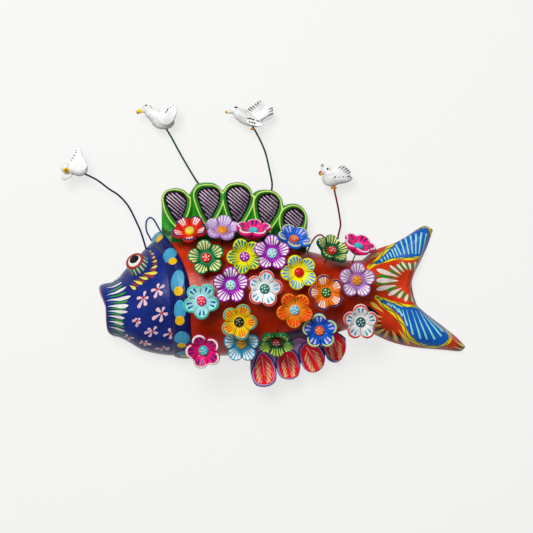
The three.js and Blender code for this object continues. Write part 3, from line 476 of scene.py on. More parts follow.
def eye_boss():
    """A stub cone luted to the head with a painted face; its foot follows the head's surface"""
    root_x, _, root_z = np.array([EYE_X, 0, EYE_Z]) - EYE_FACING * EYE_RISE
    nearest = np.argmin(((head_outer[..., [0, 2]] - (root_x, root_z)) ** 2).sum(-1))
    root = head_outer.reshape(-1, 3)[nearest]
    right = -unit(np.cross([0, 0, 1], EYE_FACING))
    up = np.cross(EYE_FACING, right)
    up = up if up[2] > 0 else -up
    turn = np.linspace(0, 2 * math.pi, EYE_SIDES, endpoint=False)
    around = towards(turn) @ np.array([right, up])
    foot = []
    for ray in around:
        high = root + ray * EYE_PROFILE[1][0] + EYE_FACING * 30
        hit, where, _, _ = head.ray_cast(Vector(high * MM), Vector(-EYE_FACING))
        foot.append((np.array(where) / MM - root) @ EYE_FACING if hit else 0)
    foot = np.array(foot)
    radius, height = np.array(EYE_PROFILE).T
    settle = np.clip(height / 6, 0, 1)[:, None]
    lift = np.where(height[:, None] < 0, height[:, None], 0) + foot * (1 - settle) + height[:, None] * settle
    wave = 1 + 0.012 * np.sin(3 * turn + 1)[None, :]
    points = root + around[None] * (radius[:, None] * wave)[..., None] + EYE_FACING * lift[..., None]
    index = np.arange(height.size * EYE_SIDES).reshape(-1, EYE_SIDES)
    ahead = np.roll(index, -1, axis=1)
    faces = np.stack([index[:-1], ahead[:-1], ahead[1:], index[1:]], -1).reshape(-1, 4).tolist()
    faces += [index[-1].tolist(), index[0, ::-1].tolist()]
    mesh = bpy.data.meshes.new("eye")
    mesh.from_pydata(points.reshape(-1, 3) * MM, [], faces)
    pitch = 2 * math.pi / EYE_STROKES
    fat = np.interp(height, [0.8, 2.5, 5.6, 7.0], [0, 0.45, 0.75, 0.5])[:, None]
    ends = np.maximum(0.9 - height, height - 7.2)[:, None]
    fields = {}
    for name, shift in (("white", 0), ("green", 0.5)):
        offset = (turn / pitch + shift) % 1 - 0.5
        fields["side_" + name] = np.maximum(np.abs(offset) * pitch * radius[:, None] - fat, ends)
    plane = towards(turn) * radius[:, None, None]
    far = np.where(height[:, None] > FACE_HEIGHT, 0, FAR)
    fields["rim"] = np.repeat(RED_RIM_HEIGHT - height[:, None], EYE_SIDES, axis=1)
    fields["ball"] = np.repeat(radius[:, None] - BALL_RADIUS, EYE_SIDES, axis=1) + far
    fields["pupil"] = np.linalg.norm(plane - PUPIL_OFF, axis=-1) - PUPIL_RADIUS + far
    fields["bare"] = np.full(points.shape[:2], -FAR)
    set_fields(mesh, fields)
    tidy(mesh)
    return show("eye", mesh)


def join(pieces):
    """Several meshes of one piece of clay, joined as one object"""
    bpy.ops.object.select_all(action="DESELECT")
    for piece in pieces:
        piece.select_set(True)
    bpy.context.view_layer.objects.active = pieces[0]
    bpy.ops.object.join()
    return pieces[0]


eye = eye_boss()
eye_paint = painted("eye_gloss", "18246C", [
    ("side_green", "2F8A34"), ("side_white", "F2F0EA"), ("rim", "AA3426"),
    ("ball", "F6F4EF"), ("pupil", "0C0B0D"),
], wobble=0.25, clay=False)
eye.data.materials.append(eye_paint)
head = join([head, eye])
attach(head, "fish")
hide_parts("head_shell")

# Trunk: the rest of the hollow body, pressed in a second mould and luted to the head under the gill band.
# Plain vermilion gloss with a few bare chips; its back rim and inside are unpainted clay.
JOINT_HALF = 0.15
TRUNK_COLUMNS = 130
TRUNK_ROWS = 130
seam = JOINT_HALF / (TAIL_X - GILL_X)
trunk_places = np.concatenate([[seam], np.linspace(seam, 1, TRUNK_COLUMNS)[1:], [1]])
trunk_fullness = np.concatenate([[0], np.ones(TRUNK_COLUMNS - 1), [0]])
trunk_outer, trunk_inner = body_shell(trunk_places, trunk_fullness, TRUNK_ROWS)
trunk_flat = unrolled(trunk_outer)
# Chips as x, z and half width
CHIPS = [
    (98.5, -58.5, 1.5), (102, -60.3, 1.1), (96.4, -62, 0.8), (105.3, -57, 0.7), (91, -60.8, 0.5),
    (110, -62.6, 0.9), (107.7, -84.5, 0.8), (70, -52.6, 0.6),
]
trunk_fields = {
    "chip": seen_ovals(trunk_outer, trunk_flat, [(*chip, chip[-1] * 0.6, 25) for chip in CHIPS]),
}
trunk = clay_piece("trunk_clay", trunk_outer, trunk_inner, trunk_fields, rim_distance(trunk_outer))
trunk.data.materials.append(painted("trunk_red_gloss", "C42E08", [("chip", "E8C9B8")], wobble=0.9))
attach(trunk, "fish")
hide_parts("trunk_shell")

# Gill band: a raised collar of clay over the joint of head and trunk, thickest along its middle.
# Dark navy gloss with turquoise ovals, each with a yellow dab over its lower end.
BAND_WIDTH = 16
BAND_TOP_WIDTH = 13
BAND_PROFILE = [(-1, 1.2), (-0.86, 3.2), (-0.55, 4.9), (0, 5.6), (0.55, 5), (0.86, 3.4), (1, 1)]
BAND_TOP_SWELL = 0.25
BAND_LOW_SHRINK = 0.55
BAND_JOINT = 0.3
BAND_COLUMNS = 46
BAND_ROWS = 300
band_across = np.concatenate([[-1, -1], np.linspace(-1, 1, BAND_COLUMNS), [1, 1]])
band_lift = np.interp(band_across, *np.array(BAND_PROFILE).T)
band_lift[[0, -1]] = BAND_JOINT
band_lift[[1, -2]] = (BAND_JOINT + BAND_PROFILE[0][1]) / 2
band_angles, band_sink = shell_rows(BAND_ROWS)
band_top = ((1 + np.cos(band_angles)) / 2) ** GILL_CURL


def place_at(x, angle):
    """The body's place at x, on its line at an angle"""
    gill = gill_x(angle)
    return (x - gill) / np.where(x > gill, TAIL_X - gill, gill - value_at(MOUTH_EDGE, np.degrees(angle)))


def band_point(lift):
    """The band's surface, raised from the body's by lift"""
    side, angle = np.meshgrid(band_across, band_angles, indexing="ij")
    width = BAND_WIDTH + (BAND_TOP_WIDTH - BAND_WIDTH) * band_top
    wander = 0.5 * np.sin(angle * 5 + 1) * side
    x = gill_x(angle) + side * (width / 2 - 0.4) + wander + 1.1 * (side + 1) * (1 - band_top)
    return body_point(place_at(x, angle), angle, lift)


band_skin = band_point(0)
band_full = np.clip(band_lift / 1.2, 0, 1)[:, None]
band_low = ((1 - np.cos(band_angles)) / 2) ** GILL_CURL
band_rise = band_lift[:, None] * (1 + BAND_TOP_SWELL * band_top - BAND_LOW_SHRINK * band_low)
band_rise = band_rise - band_sink * band_full
band_front = band_point(band_rise + uneven(band_skin, 14) * 0.35 * band_full)
band_back = band_point(np.full(band_front.shape[:2], BAND_JOINT))
band_flat = unrolled(band_front)
# Ovals and dabs as x, z, half width, half height and turn
BAND_OVALS = [
    (-70.3, -6.8, 5.9, 8.5, -12), (-57.4, -23.9, 6.1, 8.6, -25), (-49.8, -46.7, 5.9, 10.3, -10),
    (-47.4, -72.4, 5.2, 9, 0), (-46.1, -97.6, 6.9, 7.4, 8), (-46, -112.3, 5.8, 5, 15),
]
BAND_DABS = [
    (-67.6, -8.8, 3.2, 5.6, -12.6), (-54.3, -29.8, 3.8, 3.6, 0), (-48.7, -55.8, 4.1, 4.1, 0),
    (-47.6, -81.6, 4.1, 4.5, 0), (-46.9, -104.4, 4.1, 3.1, 0), (-44.7, -114.8, 3.6, 2.8, 0),
]
band_fields = {
    "oval": seen_ovals(band_front, band_flat, BAND_OVALS),
    "dab": seen_ovals(band_front, band_flat, BAND_DABS),
}
band = clay_piece("band_clay", band_front, band_back, band_fields, rim_distance(band_front))
band.data.materials.append(painted("band_navy_gloss", "0E1A5E", [
    ("oval", "46A4CC"), ("dab", "F4BF03"),
], wobble=0.3))
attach(band, "fish")
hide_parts("gill_band")

# Tail: a solid slab of clay modelled by hand, round at its stalk and two plump lobes behind, flat at the
# back. Painted with two blue leaves in yellow borders, and fans of fine strokes on the vermilion.
TAIL_TOP = [(12, -19.5), (29.3, -13.2), (40.2, -7.2), (56.8, 2.4), (64.2, -1)]
TAIL_BOTTOM = [
    (9.2, -95.4), (24.7, -102.2), (38.4, -106.1), (51, -108.1), (73.4, -110), (89.9, -110.9),
    (93.8, -107.1),
]
TAIL_FORK = [
    (58.9, -16.5), (52.6, -30.2), (46.8, -42.4), (44.6, -52.6), (48, -66.8), (55.3, -74.8), (73.4, -88.8),
    (86, -99),
]
TAIL_EDGE_DEPTH = 4
TAIL_LOBE_DEPTH = 13
TAIL_LOWER_SWELL = 6
TAIL_EDGE_ROUND = 6.5
TAIL_TIP_THIN = 0.55
TAIL_JOINT = 0.2
TAIL_COLUMNS = 190
TAIL_ROWS = 200
EDGE_STEPS = 400
LOOP_STEPS = 6


def smoothstep(value, low, high):
    """0 up to low and 1 from high on, with a soft rise between"""
    share = np.clip((value - low) / (high - low), 0, 1)
    return share * share * (3 - 2 * share)


def curve_through(points, count, closed=False):
    """Points along the centripetal curve through points, in equal steps of its parameter"""
    points = np.array(points, float)
    if closed:
        points = np.concatenate([points[-1:], points, points[:2]])
    else:
        points = np.concatenate([[2 * points[0] - points[1]], points, [2 * points[-1] - points[-2]]])
    spans = len(points) - 3
    t = np.linspace(0, spans, count, endpoint=not closed)
    k = np.minimum(t.astype(int), spans - 1)
    t = (t - k)[:, None]
    p0, p1, p2, p3 = (points[k + step] for step in range(4))
    d0, d1, d2 = (np.sqrt(np.linalg.norm(b - a, axis=1))[:, None] for a, b in ((p0, p1), (p1, p2), (p2, p3)))
    m1 = ((p1 - p0) / d0 - (p2 - p0) / (d0 + d1) + (p2 - p1) / d1) * d1
    m2 = ((p2 - p1) / d1 - (p3 - p1) / (d1 + d2) + (p3 - p2) / d2) * d1
    return p1 + m1 * t + (3 * (p2 - p1) - 2 * m1 - m2) * t ** 2 + (2 * (p1 - p2) + m1 + m2) * t ** 3


def loop_through(outline):
    return curve_through(outline, len(outline) * LOOP_STEPS, closed=True)


def line_distance(flat, points):
    """Distance from a line of points"""
    return strokes(flat, points[:-1], points[1:], 0.0, 0.0)


def loop_distance(flat, loop):
    return line_distance(flat, np.concatenate([loop, loop[:1]]))


def within(flat, loop):
    """Whether each place lies inside a closed loop"""
    u, v = flat[..., 0], flat[..., 1]
    inside = np.zeros(u.shape, bool)
    for (ax, ay), (bx, by) in zip(loop, np.roll(loop, -1, axis=0)):
        crosses = (ay > v) != (by > v)
        inside ^= crosses & (u < ax + (v - ay) * (bx - ax) / (by - ay if by != ay else 1))
    return inside


def patch(flat, outline):
    """Signed distance outside a closed painted shape, negative within"""
    loop = loop_through(outline)
    distance = loop_distance(flat, loop)
    return np.where(within(flat, loop), -distance, distance)


def rounded(rim, width):
    """Share of the full thickness at a distance from an edge that is rounded over a width"""
    share = np.clip(rim / width, 0, 1)
    return np.sqrt(np.clip(1 - (1 - share) ** 2, 0, 1))


VINE_WAVE = 17


def ribbon(flat, points, half_width, count=60, swing=0.0):
    """Distance outside a painted line; it can swing from side to side of its path, once in every wave"""
    path = curve_through(points, count)
    ahead = np.gradient(path, axis=0)
    aside = np.stack([-ahead[:, 1], ahead[:, 0]], -1) / np.linalg.norm(ahead, axis=1)[:, None]
    path = path + aside * (swing * np.sin(walked(path) * 2 * math.pi / VINE_WAVE))[:, None]
    return line_distance(flat, path) - half_width


def tail_sheet():
    """The tail's outline filled as a grid, and how far out it stands"""
    along = np.linspace(0, 1, TAIL_COLUMNS)
    down = (1 - np.cos(np.linspace(0, math.pi, TAIL_ROWS))) / 2
    top_z, bottom_z = TOP_EDGE[-1][1], BOTTOM_EDGE[-1][1]
    top = curve_through([(0, top_z), *TAIL_TOP], EDGE_STEPS)
    bottom = curve_through([(0, bottom_z), *TAIL_BOTTOM], EDGE_STEPS)
    end = curve_through([TAIL_TOP[-1], *TAIL_FORK, TAIL_BOTTOM[-1]], EDGE_STEPS)
    share = np.linspace(0, 1, EDGE_STEPS)

    def at(curve, value):
        return np.stack([np.interp(value, share, curve[:, k]) for k in (0, 1)], -1)

    u, v = (grid[..., None] for grid in np.meshgrid(along, down, indexing="ij"))
    stalk = top[0] + (bottom[0] - top[0]) * (1 - np.cos(v * math.pi)) / 2
    corners = (top[0] * (1 - v) + bottom[0] * v) * (1 - u) + (end[0] * (1 - v) + end[-1] * v) * u
    across = at(top, u[..., 0]) * (1 - v) + at(bottom, u[..., 0]) * v
    seen = across + stalk * (1 - u) + at(end, v[..., 0]) * u - corners
    u, v = u[..., 0], v[..., 0]
    round_share = np.sin(v * math.pi)
    swell = TAIL_LOWER_SWELL * np.exp(-(((v - 0.78) / 0.14) ** 2)) * np.sin(u * math.pi)
    blade = TAIL_EDGE_DEPTH + (TAIL_LOBE_DEPTH - TAIL_EDGE_DEPTH) * np.sqrt(round_share) + swell
    blade = blade * (1 - TAIL_TIP_THIN * smoothstep(u, 0.85, 1))
    border = np.concatenate([seen[:, 0], seen[-1], seen[::-1, -1]])
    rounding = 1 + (rounded(line_distance(seen, border[::3]), TAIL_EDGE_ROUND) - 1) * smoothstep(u, 0, 0.3)
    stalk_share = smoothstep(u, 0, 0.75)
    depth = DEPTH[-1][1] * round_share * (1 - stalk_share) + blade * stalk_share
    return np.stack([TAIL_X - TAIL_JOINT * (1 - u) + seen[..., 0], -depth * rounding, seen[..., 1]], -1)


tail_front = tail_sheet()
tail_edge = np.concatenate([tail_front[::3, 0], tail_front[-1, ::3], tail_front[::-3, -1]])
tail_rim = line_distance(tail_front[..., [0, 2]], tail_edge[:, [0, 2]])
tail_firm = smoothstep(tail_rim, 0, 4)
tail_front[..., 1] += uneven(tail_front, 15) * 0.5 * tail_firm - 0.5 * tail_firm
tail_front[..., 1] = np.minimum(tail_front[..., 1], 0)
tail_back = tail_front * (1, 0, 1)
tail_flat = tail_front[..., [0, 2]]

# Leaves as outlines in x and z, their borders as lines, and the strokes in them as start and end
UPPER_LEAF = [
    (126.5, -31.5), (133.1, -29), (138.9, -27), (145.6, -25.6), (154.8, -25.2), (162.3, -24.6),
    (166.9, -23.6), (170.5, -20.3), (173.6, -13), (175.3, -6.3), (174.8, -2.3), (172.3, -0.6),
    (169.4, -0.6), (165.7, -2.3), (159, -5.9), (152.3, -9.6), (147.3, -12.8), (143.1, -16.7),
    (138.9, -20.9), (133.9, -25.5),
]
UPPER_BORDER = [
    [(119.8, -35.3), (124.8, -32.3), (130.6, -30.2), (137.3, -28.6), (144.8, -26.7), (154.8, -27.1),
     (162.3, -26.5), (167.5, -25.5)],
    [(119.8, -35.3), (125.6, -30.6), (131.9, -24.2), (137.3, -19), (143.1, -14.6)],
    [(166.6, -0.8), (169.4, 0.4), (172.7, 0.4), (175.8, -2.3), (176.8, -6.4), (176.1, -12.1), (173.6, -18.4),
     (170.5, -23), (167.5, -25.5)],
]
UPPER_STROKES = [
    (172.5, -5.1, 169.2, -19.7), (167.9, -4.2, 165.4, -23), (163.1, -5.5, 162.5, -23),
    (158.4, -6.7, 159.6, -22.6), (153.8, -8.8, 156.3, -23.4), (149.6, -11.3, 152.5, -23),
    (145.4, -15.1, 149.2, -23.8), (143.8, -18, 146.3, -24.7), (141.3, -19.2, 143.8, -25.9),
    (139.2, -22.2, 140.9, -25.9), (136.7, -23.8, 137.9, -27.2), (134.2, -26.3, 135.4, -28.4),
    (131.3, -28, 132.1, -29.7),
]
LOWER_LEAF = [
    (130.5, -65), (136.1, -66.4), (142.8, -68.9), (149.4, -71.5), (157.7, -72.1), (164.8, -72.9),
    (169.4, -76.1), (176.9, -82.1), (184.4, -87.9), (189.8, -92.5), (191, -97.2), (189.4, -101),
    (185.6, -103.9), (180.2, -105.1), (173.6, -104.5), (166.9, -102.2), (161.5, -98.5), (156.9, -93.7),
    (154, -87.9), (151.8, -82.9), (148.2, -77.5), (143.2, -72.9), (137.4, -68.8),
]
LOWER_BORDER = [
    [(126, -61.7), (132.9, -64.2), (141.2, -67.1), (149.5, -69.4), (157.8, -70.5), (165.3, -71.5),
     (169.9, -74.2)],
    [(126, -61.7), (132, -68.4), (138.7, -73.8), (144.9, -79.2), (149.9, -85.9), (152.8, -92.9),
     (157.7, -99.6), (165.3, -103.6), (173.7, -106.3), (181.2, -106.4), (188.7, -104.8), (193, -100.4),
     (193.6, -95.4), (191.4, -92.1)],
]
LOWER_STROKES = [
    (135.9, -66.6, 137.5, -68.7), (137.9, -67, 140, -69.9), (140.4, -67.9, 143.3, -71.2),
    (143.3, -69.9, 146.7, -74.9), (146.7, -71.6, 149.6, -78.2), (150, -72.4, 154.1, -86.9),
    (153.7, -72.8, 159.3, -94.8), (158.4, -73.2, 166.2, -98.6), (162, -73.7, 172.2, -99.4),
    (165.7, -74.5, 179, -99.4), (169.1, -77, 184.8, -96.5), (173.2, -79.9, 186.5, -92.3),
]
# Fans as start, end and greatest half width of every dab
FAN_WHITE = [
    (151.1, -43, 138.7, -33.4, 1.1), (152.8, -40.5, 145.3, -32.2, 1), (156.1, -38.8, 149.5, -30.1, 1),
    (158.6, -39.2, 156.1, -30.5, 1), (161.1, -38.8, 162.4, -29.7, 1.1), (149.1, -44.6, 126.6, -37, 2.1),
    (149.1, -47.3, 125.8, -46.7, 2.3), (147.8, -50.6, 126, -55, 2), (151.3, -52.9, 137, -60.3, 1.8),
    (152.1, -55, 146.2, -62.9, 1.5), (156, -57.5, 152.6, -65.8, 1.5), (158.2, -58.1, 160.1, -66.9, 1.1),
]
FAN_GREEN = [
    (149.6, -44, 137.4, -36.6, 1.3), (150.7, -41.3, 144.1, -33.4, 1.1), (154.6, -39.5, 147.8, -30.7, 1.3),
    (157.1, -39.3, 153, -31.2, 1.2), (159.9, -39, 159.9, -30.9, 1.1), (162.5, -38.1, 164.4, -30.7, 1.1),
    (148, -45.6, 126.2, -42.3, 1.5), (148.8, -48.5, 125.2, -50.1, 1.3), (149.1, -51.1, 135.2, -56.7, 1.5),
    (150.5, -54.6, 143.7, -61.3, 1.4), (153, -55.6, 150.1, -62.9, 1.6), (157.4, -58.1, 157, -66.1, 1.3),
    (159.9, -62.1, 162.4, -67.5, 1),
]
SIDE_BLACK = [
    (132, -79.5, 116.6, -70, 1.6), (132, -82, 126.2, -81, 0.8), (132.9, -84.9, 124.5, -84.9, 0.9),
    (133.7, -88.9, 123.7, -92.7, 1.5), (136.3, -91, 130.4, -97.7, 1.6), (138.8, -91.2, 141.3, -101.8, 1.6),
    (143.7, -91.8, 151.3, -104.9, 1.8), (126.2, -75.4, 119.1, -71.2, 1),
]
SIDE_YELLOW = [
    (134.1, -76.2, 120.6, -66.2, 1.7), (132.4, -80.2, 126.6, -78.3, 0.9), (132.4, -83.4, 125.8, -82.9, 1),
    (133, -86.9, 123.7, -87.7, 1.3), (135.5, -89.7, 126.9, -94.7, 1.5), (137.2, -90.5, 134.7, -98.8, 1.5),
    (140.3, -90.5, 146.3, -102.4, 1.5), (145.3, -89.7, 157.6, -105.1, 1.7),
]
TIP_BLACK = [(196.5, -102.4, 207.6, -108.4, 1.5), (194.5, -107.9, 206.6, -110.6, 1.2)]
TIP_YELLOW = [
    (197.4, -101.7, 208, -107.2, 1.1), (195.3, -106.2, 206, -109.9, 0.8),
    (116.3, -29.5, 130.5, -21.9, 1.3),
]


def tail_strokes(rows, thin, fat):
    """Strokes in a leaf, from the leaf's one edge to its other"""
    starts, ends = np.array(rows, float).reshape(-1, 2, 2).swapaxes(0, 1)
    return strokes(tail_flat, starts, ends, thin, fat)


def fan(rows):
    """Dabs of a pointed brush on the red ground"""
    rows = np.array(rows, float)
    return lenses(tail_flat, rows[:, :2], rows[:, 2:4], rows[:, 4])


borders = UPPER_BORDER + LOWER_BORDER
tail_fields = {
    "border": np.minimum.reduce([ribbon(tail_flat, path, 1.6) for path in borders]),
    "vine": np.minimum.reduce([ribbon(tail_flat, path, 0.45, 120, 1.0) for path in borders]),
    "leaf": np.minimum(patch(tail_flat, UPPER_LEAF), patch(tail_flat, LOWER_LEAF)) - 1.1,
    "vein": np.minimum(tail_strokes(UPPER_STROKES, 0.75, 0.45), tail_strokes(LOWER_STROKES, 0.25, 0.85)),
    "fan_white": fan(FAN_WHITE),
    "fan_green": fan(FAN_GREEN),
    "side_black": fan(SIDE_BLACK + TIP_BLACK),
    "side_yellow": fan(SIDE_YELLOW + TIP_YELLOW),
    "dot": ovals(tail_flat, [np.array([156.3, -50])], 0.9, 0.5, 0),
}
tail = clay_piece("tail_clay", tail_front, tail_back, tail_fields, 1.4 - tail_rim * 6)
tail.data.materials.append(painted("tail_red_gloss", "D8380E", [
    ("side_black", "16100E"), ("side_yellow", "F2CC50"), ("border", "FAE000"),
    ("leaf", "0A62C4"), ("vine", "14703C"), ("vein", "A0ECE0"), ("fan_green", "3E8A1E"),
    ("fan_white", "F8E8E0"), ("dot", "223040"),
], wobble=0.15))
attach(tail, "fish")
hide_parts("tail")

# Dorsal fin: five spoon-shaped lobes pinched up from one strip of clay and luted along the back. Green
# gloss, with a pale line on each rim and a sunk purple panel hatched in pink.
DORSAL_FRONT = -17
DORSAL_BACK = -5
DORSAL_EDGE_ROUND = 4.6
DORSAL_FRONT_HALF = 6.3
DORSAL_BACK_HALF = 5.6
DORSAL_LOBES = [
    [(-66.2, 19), (-66.3, 27.8), (-63.7, 33), (-59, 35.6), (-52, 36.1), (-46.7, 34.8), (-41.5, 30.2)],
    [(-41.5, 30.2), (-38.9, 34.8), (-34.6, 40), (-30.2, 41), (-25.8, 41.3), (-18.8, 40.5), (-13.6, 36.5),
     (-11.9, 33.9)],
    [(-11.9, 33.9), (-10.1, 35.6), (-6.7, 39.6), (1.2, 41.5), (8.2, 40.5), (13.4, 36.5), (15.6, 30.8)],
    [(15.6, 30.8), (16.9, 32.2), (21.2, 34.3), (28.2, 34.8), (35.2, 33.5), (41.3, 27.8), (43.5, 20.4)],
    [(43.5, 20.4), (49.1, 22.1), (54.4, 22.1), (60.5, 19), (64.4, 12.9), (65.3, 6.9), (64.5, -3)],
]
DORSAL_PANELS = [
    [(-51.1, 4.4), (-55.3, 8.1), (-60.6, 17.8), (-63.7, 26.7), (-61, 32), (-53.5, 33.3), (-47.3, 31.5),
     (-43.3, 26.7), (-43.6, 18.7), (-47.3, 9)],
    [(-23.5, 5), (-27.2, 9.9), (-32.8, 23.1), (-34.1, 31.1), (-30.6, 35.5), (-21.7, 36.6), (-16, 35.3),
     (-13.2, 30.2), (-14.5, 21.4), (-20, 9.9)],
    [(0.4, 2.4), (-3.2, 9), (-7.8, 24), (-8.3, 31.1), (-4.5, 36.8), (1.3, 38.2), (7.4, 37.3), (12.3, 33.3),
     (14.1, 28), (11.4, 17.8), (4.8, 6.4)],
    [(27.8, -0.3), (23.3, 4.6), (20, 17), (20.3, 25.4), (24.2, 30), (30.4, 31.5), (36.2, 29.2), (39.9, 23.1),
     (38.5, 15.2), (32.2, 4.6)],
    [(48.1, -6), (44.1, -0.3), (42.8, 7.2), (44.4, 13.4), (47.9, 17), (52.5, 18.3), (58.2, 16.8),
     (62.2, 11.7), (61.2, 4.6), (54.3, -3.4)],
]
FIN_STEP = 0.75
FIN_BARE = 2
LOBE_STEPS = 30
FOOT_STEPS = 60


def surface_angle(x, angle_on, grow=0.0):
    """The section of the body through x, at the angle that a rule finds on it by repeated passes"""
    angle = np.full(np.shape(x), math.pi / 2)
    for _ in range(12):
        place = np.clip(place_at(x, angle), -1, 1)
        top, bottom = value_at(TOP_EDGE, place), value_at(BOTTOM_EDGE, place)
        middle, half, depth = (top + bottom) / 2, (top - bottom) / 2 + grow, value_at(DEPTH, place) + grow
        angle = angle_on(middle, half, depth)
    return middle, half, depth, angle


def surface_y(x, z):
    """How far out the body surface stands at x and z"""
    _, _, depth, angle = surface_angle(
        x, lambda middle, half, depth: np.arccos(np.clip((z - middle) / half, -1, 1)))
    return -depth * np.sin(angle)


def surface_z(x, y, side=1):
    """Height of the body surface over x and y; side 1 is its upper half and -1 its lower half"""
    right = math.pi / 2
    middle, half, _, angle = surface_angle(
        x, lambda middle, half, depth: right - side * (right - np.arcsin(np.clip(-y / depth, 0, 1))))
    return middle + half * np.cos(angle)


def even_steps(points):
    """The same line in equal steps"""
    way = walked(points)
    stops = np.linspace(0, way[-1], max(int(way[-1] / FIN_STEP), 2) + 1)
    return np.stack([np.interp(stops, way, points[:, k]) for k in (0, 1)], -1)


def fin_blank(free_edge, foot):
    """Triangles that fill a fin's outline, and each point's distance from its free edge"""
    outline = np.concatenate([even_steps(free_edge)[:-1], even_steps(foot)[:-1]])
    spans = [np.arange(low, high, FIN_STEP) for low, high in zip(outline.min(0), outline.max(0))]
    inner = np.stack(np.meshgrid(*spans), -1)
    inner[1::2, :, 0] += FIN_STEP / 2
    inner = inner.reshape(-1, 2)
    inner = inner[within(inner, outline) & (loop_distance(inner, outline) > FIN_STEP * 0.6)]
    points = [Vector(point) for point in np.concatenate([outline, inner])]
    edges = [(k, (k + 1) % len(outline)) for k in range(len(outline))]
    flat, _, faces, _, _, _ = delaunay_2d_cdt(points, edges, [], 1, 1e-5)
    flat = np.array([tuple(point) for point in flat])
    return flat, faces, line_distance(flat, free_edge)


def slab(name, flat, faces, front, back, fields, bare):
    """A closed fin from its flat triangles and the depths of its front and back"""
    count = len(flat)
    sheets = [np.stack([flat[:, 0], depth, flat[:, 1]], -1) for depth in (front, back)]
    triangles = np.array(faces)
    edges = np.sort(np.concatenate([triangles[:, pair] for pair in ([0, 1], [1, 2], [2, 0])]), axis=1)
    border, seen = np.unique(edges, axis=0, return_counts=True)
    border = border[seen == 1]
    walls = np.stack([border[:, 0], border[:, 1], border[:, 1] + count, border[:, 0] + count], -1)
    mesh = bpy.data.meshes.new(name)
    everything = triangles.tolist() + (triangles[:, ::-1] + count).tolist() + walls.tolist()
    mesh.from_pydata(np.concatenate(sheets) * MM, [], everything)
    plain = np.full(count, FAR)
    set_fields(mesh, {field: np.concatenate([values, plain]) for field, values in fields.items()})
    set_fields(mesh, {"bare": np.concatenate([np.full(count, -FAR), bare])})
    tidy(mesh)
    return show(name, mesh)


dorsal_edge = np.concatenate([curve_through(lobe, LOBE_STEPS) for lobe in DORSAL_LOBES])
foot_x = np.linspace(dorsal_edge[-1, 0], dorsal_edge[0, 0], FOOT_STEPS)
foot_z = surface_z(foot_x, np.full_like(foot_x, DORSAL_FRONT)) - 2.2 + 0.8 * np.sin(foot_x * 0.31)
dorsal_foot = np.stack([foot_x, foot_z], -1)
dorsal_free = np.concatenate([dorsal_foot[-1:], dorsal_edge, dorsal_foot[:1]])
dorsal_flat, dorsal_faces, dorsal_rim = fin_blank(dorsal_free, dorsal_foot)
dorsal_x, dorsal_z = dorsal_flat.T
panel_fields = [patch(dorsal_flat, panel) for panel in DORSAL_PANELS]
dorsal_panel = np.minimum.reduce(panel_fields)
# Each panel's low end runs on to the foot as a spoon's stalk does
stalks = [ribbon(dorsal_flat, [(x, z), (x + 1.5, z - 8), (x + 0.5, -16)], 0, 12)
          for (x, z), *_ in DORSAL_PANELS]
dorsal_spoon = np.minimum(dorsal_panel, np.minimum.reduce(stalks))
RIM_AT = 2.9
RIM_HALF = 2.3
RIM_HEIGHT = 2.6
GROOVE_DEPTH = 2.2


def spoon_relief(spoon, panel, sink):
    """Clay raised in a round rim about each panel, hollow within it and grooved outside it"""
    crest = np.exp(-((spoon - RIM_AT) / RIM_HALF) ** 2) * RIM_HEIGHT
    hollow = sink * (1 - smoothstep(panel, -2.6, 1.2))
    groove = GROOVE_DEPTH * smoothstep(spoon, 3.8, 7.5)
    return crest - hollow - groove


dorsal_round = rounded(dorsal_rim, DORSAL_EDGE_ROUND)
dorsal_middle = (DORSAL_FRONT + DORSAL_BACK) / 2
dorsal_relief = spoon_relief(dorsal_spoon, dorsal_panel, 2.8)
foot_blend = smoothstep(dorsal_z, -16, -6)
dorsal_lift = (DORSAL_FRONT_HALF - RIM_HEIGHT + dorsal_relief * foot_blend) * dorsal_round
dorsal_points = np.stack([dorsal_x, np.zeros_like(dorsal_x), dorsal_z], -1)
dorsal_front = dorsal_middle - np.maximum(dorsal_lift + uneven(dorsal_points, 9) * 0.3 * dorsal_round, 0)
dorsal_back = dorsal_middle + (DORSAL_BACK_HALF + uneven(dorsal_points, 14) * 0.4) * dorsal_round
HATCH_TURN = math.radians(-41)
HATCH_SPACING = 2.6


def hatching(flat, panel_field, outline):
    """Slanting strokes across a panel, each one fat at its upper end"""
    centre = np.mean(outline, axis=0)
    ahead = towards(HATCH_TURN)
    aside = np.array([-ahead[1], ahead[0]])
    rows = np.arange(-8, 9) * HATCH_SPACING
    starts = [centre + aside * row - ahead * (16 + 0.8 * math.sin(row * 3)) for row in rows]
    ends = [centre + aside * (row + 0.5 * math.sin(row * 2)) + ahead * 17 for row in rows]
    field = strokes(flat, starts, ends, 0.52, 0.12)
    return np.maximum(field, panel_field + 1.3)


dorsal_hatch = np.minimum.reduce([
    hatching(dorsal_flat, field, outline) for field, outline in zip(panel_fields, DORSAL_PANELS)])
crest_at = np.minimum(RIM_AT, (dorsal_spoon + dorsal_rim) / 2)
dorsal_fields = {
    "panel": dorsal_panel,
    "hatch": dorsal_hatch,
    "crest": np.maximum(np.abs(dorsal_spoon - crest_at) - 0.5, -4 - dorsal_z),
    "base": dorsal_z + 1 - 2.5 * np.sin(dorsal_x * 0.35) - 1.5 * np.sin(dorsal_x * 0.13 + 2),
}
dorsal = slab("dorsal_clay", dorsal_flat, dorsal_faces, dorsal_front, dorsal_back, dorsal_fields,
              dorsal_rim - FIN_BARE)
dorsal.data.materials.append(painted("fin_green_gloss", "2E9A22", [
    ("base", "145A1E"), ("panel", "2A0C2C"), ("hatch", "F2D8EC"), ("crest", "DDEE78"),
], wobble=0.12))
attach(dorsal, "fish")
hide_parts("dorsal_fin")

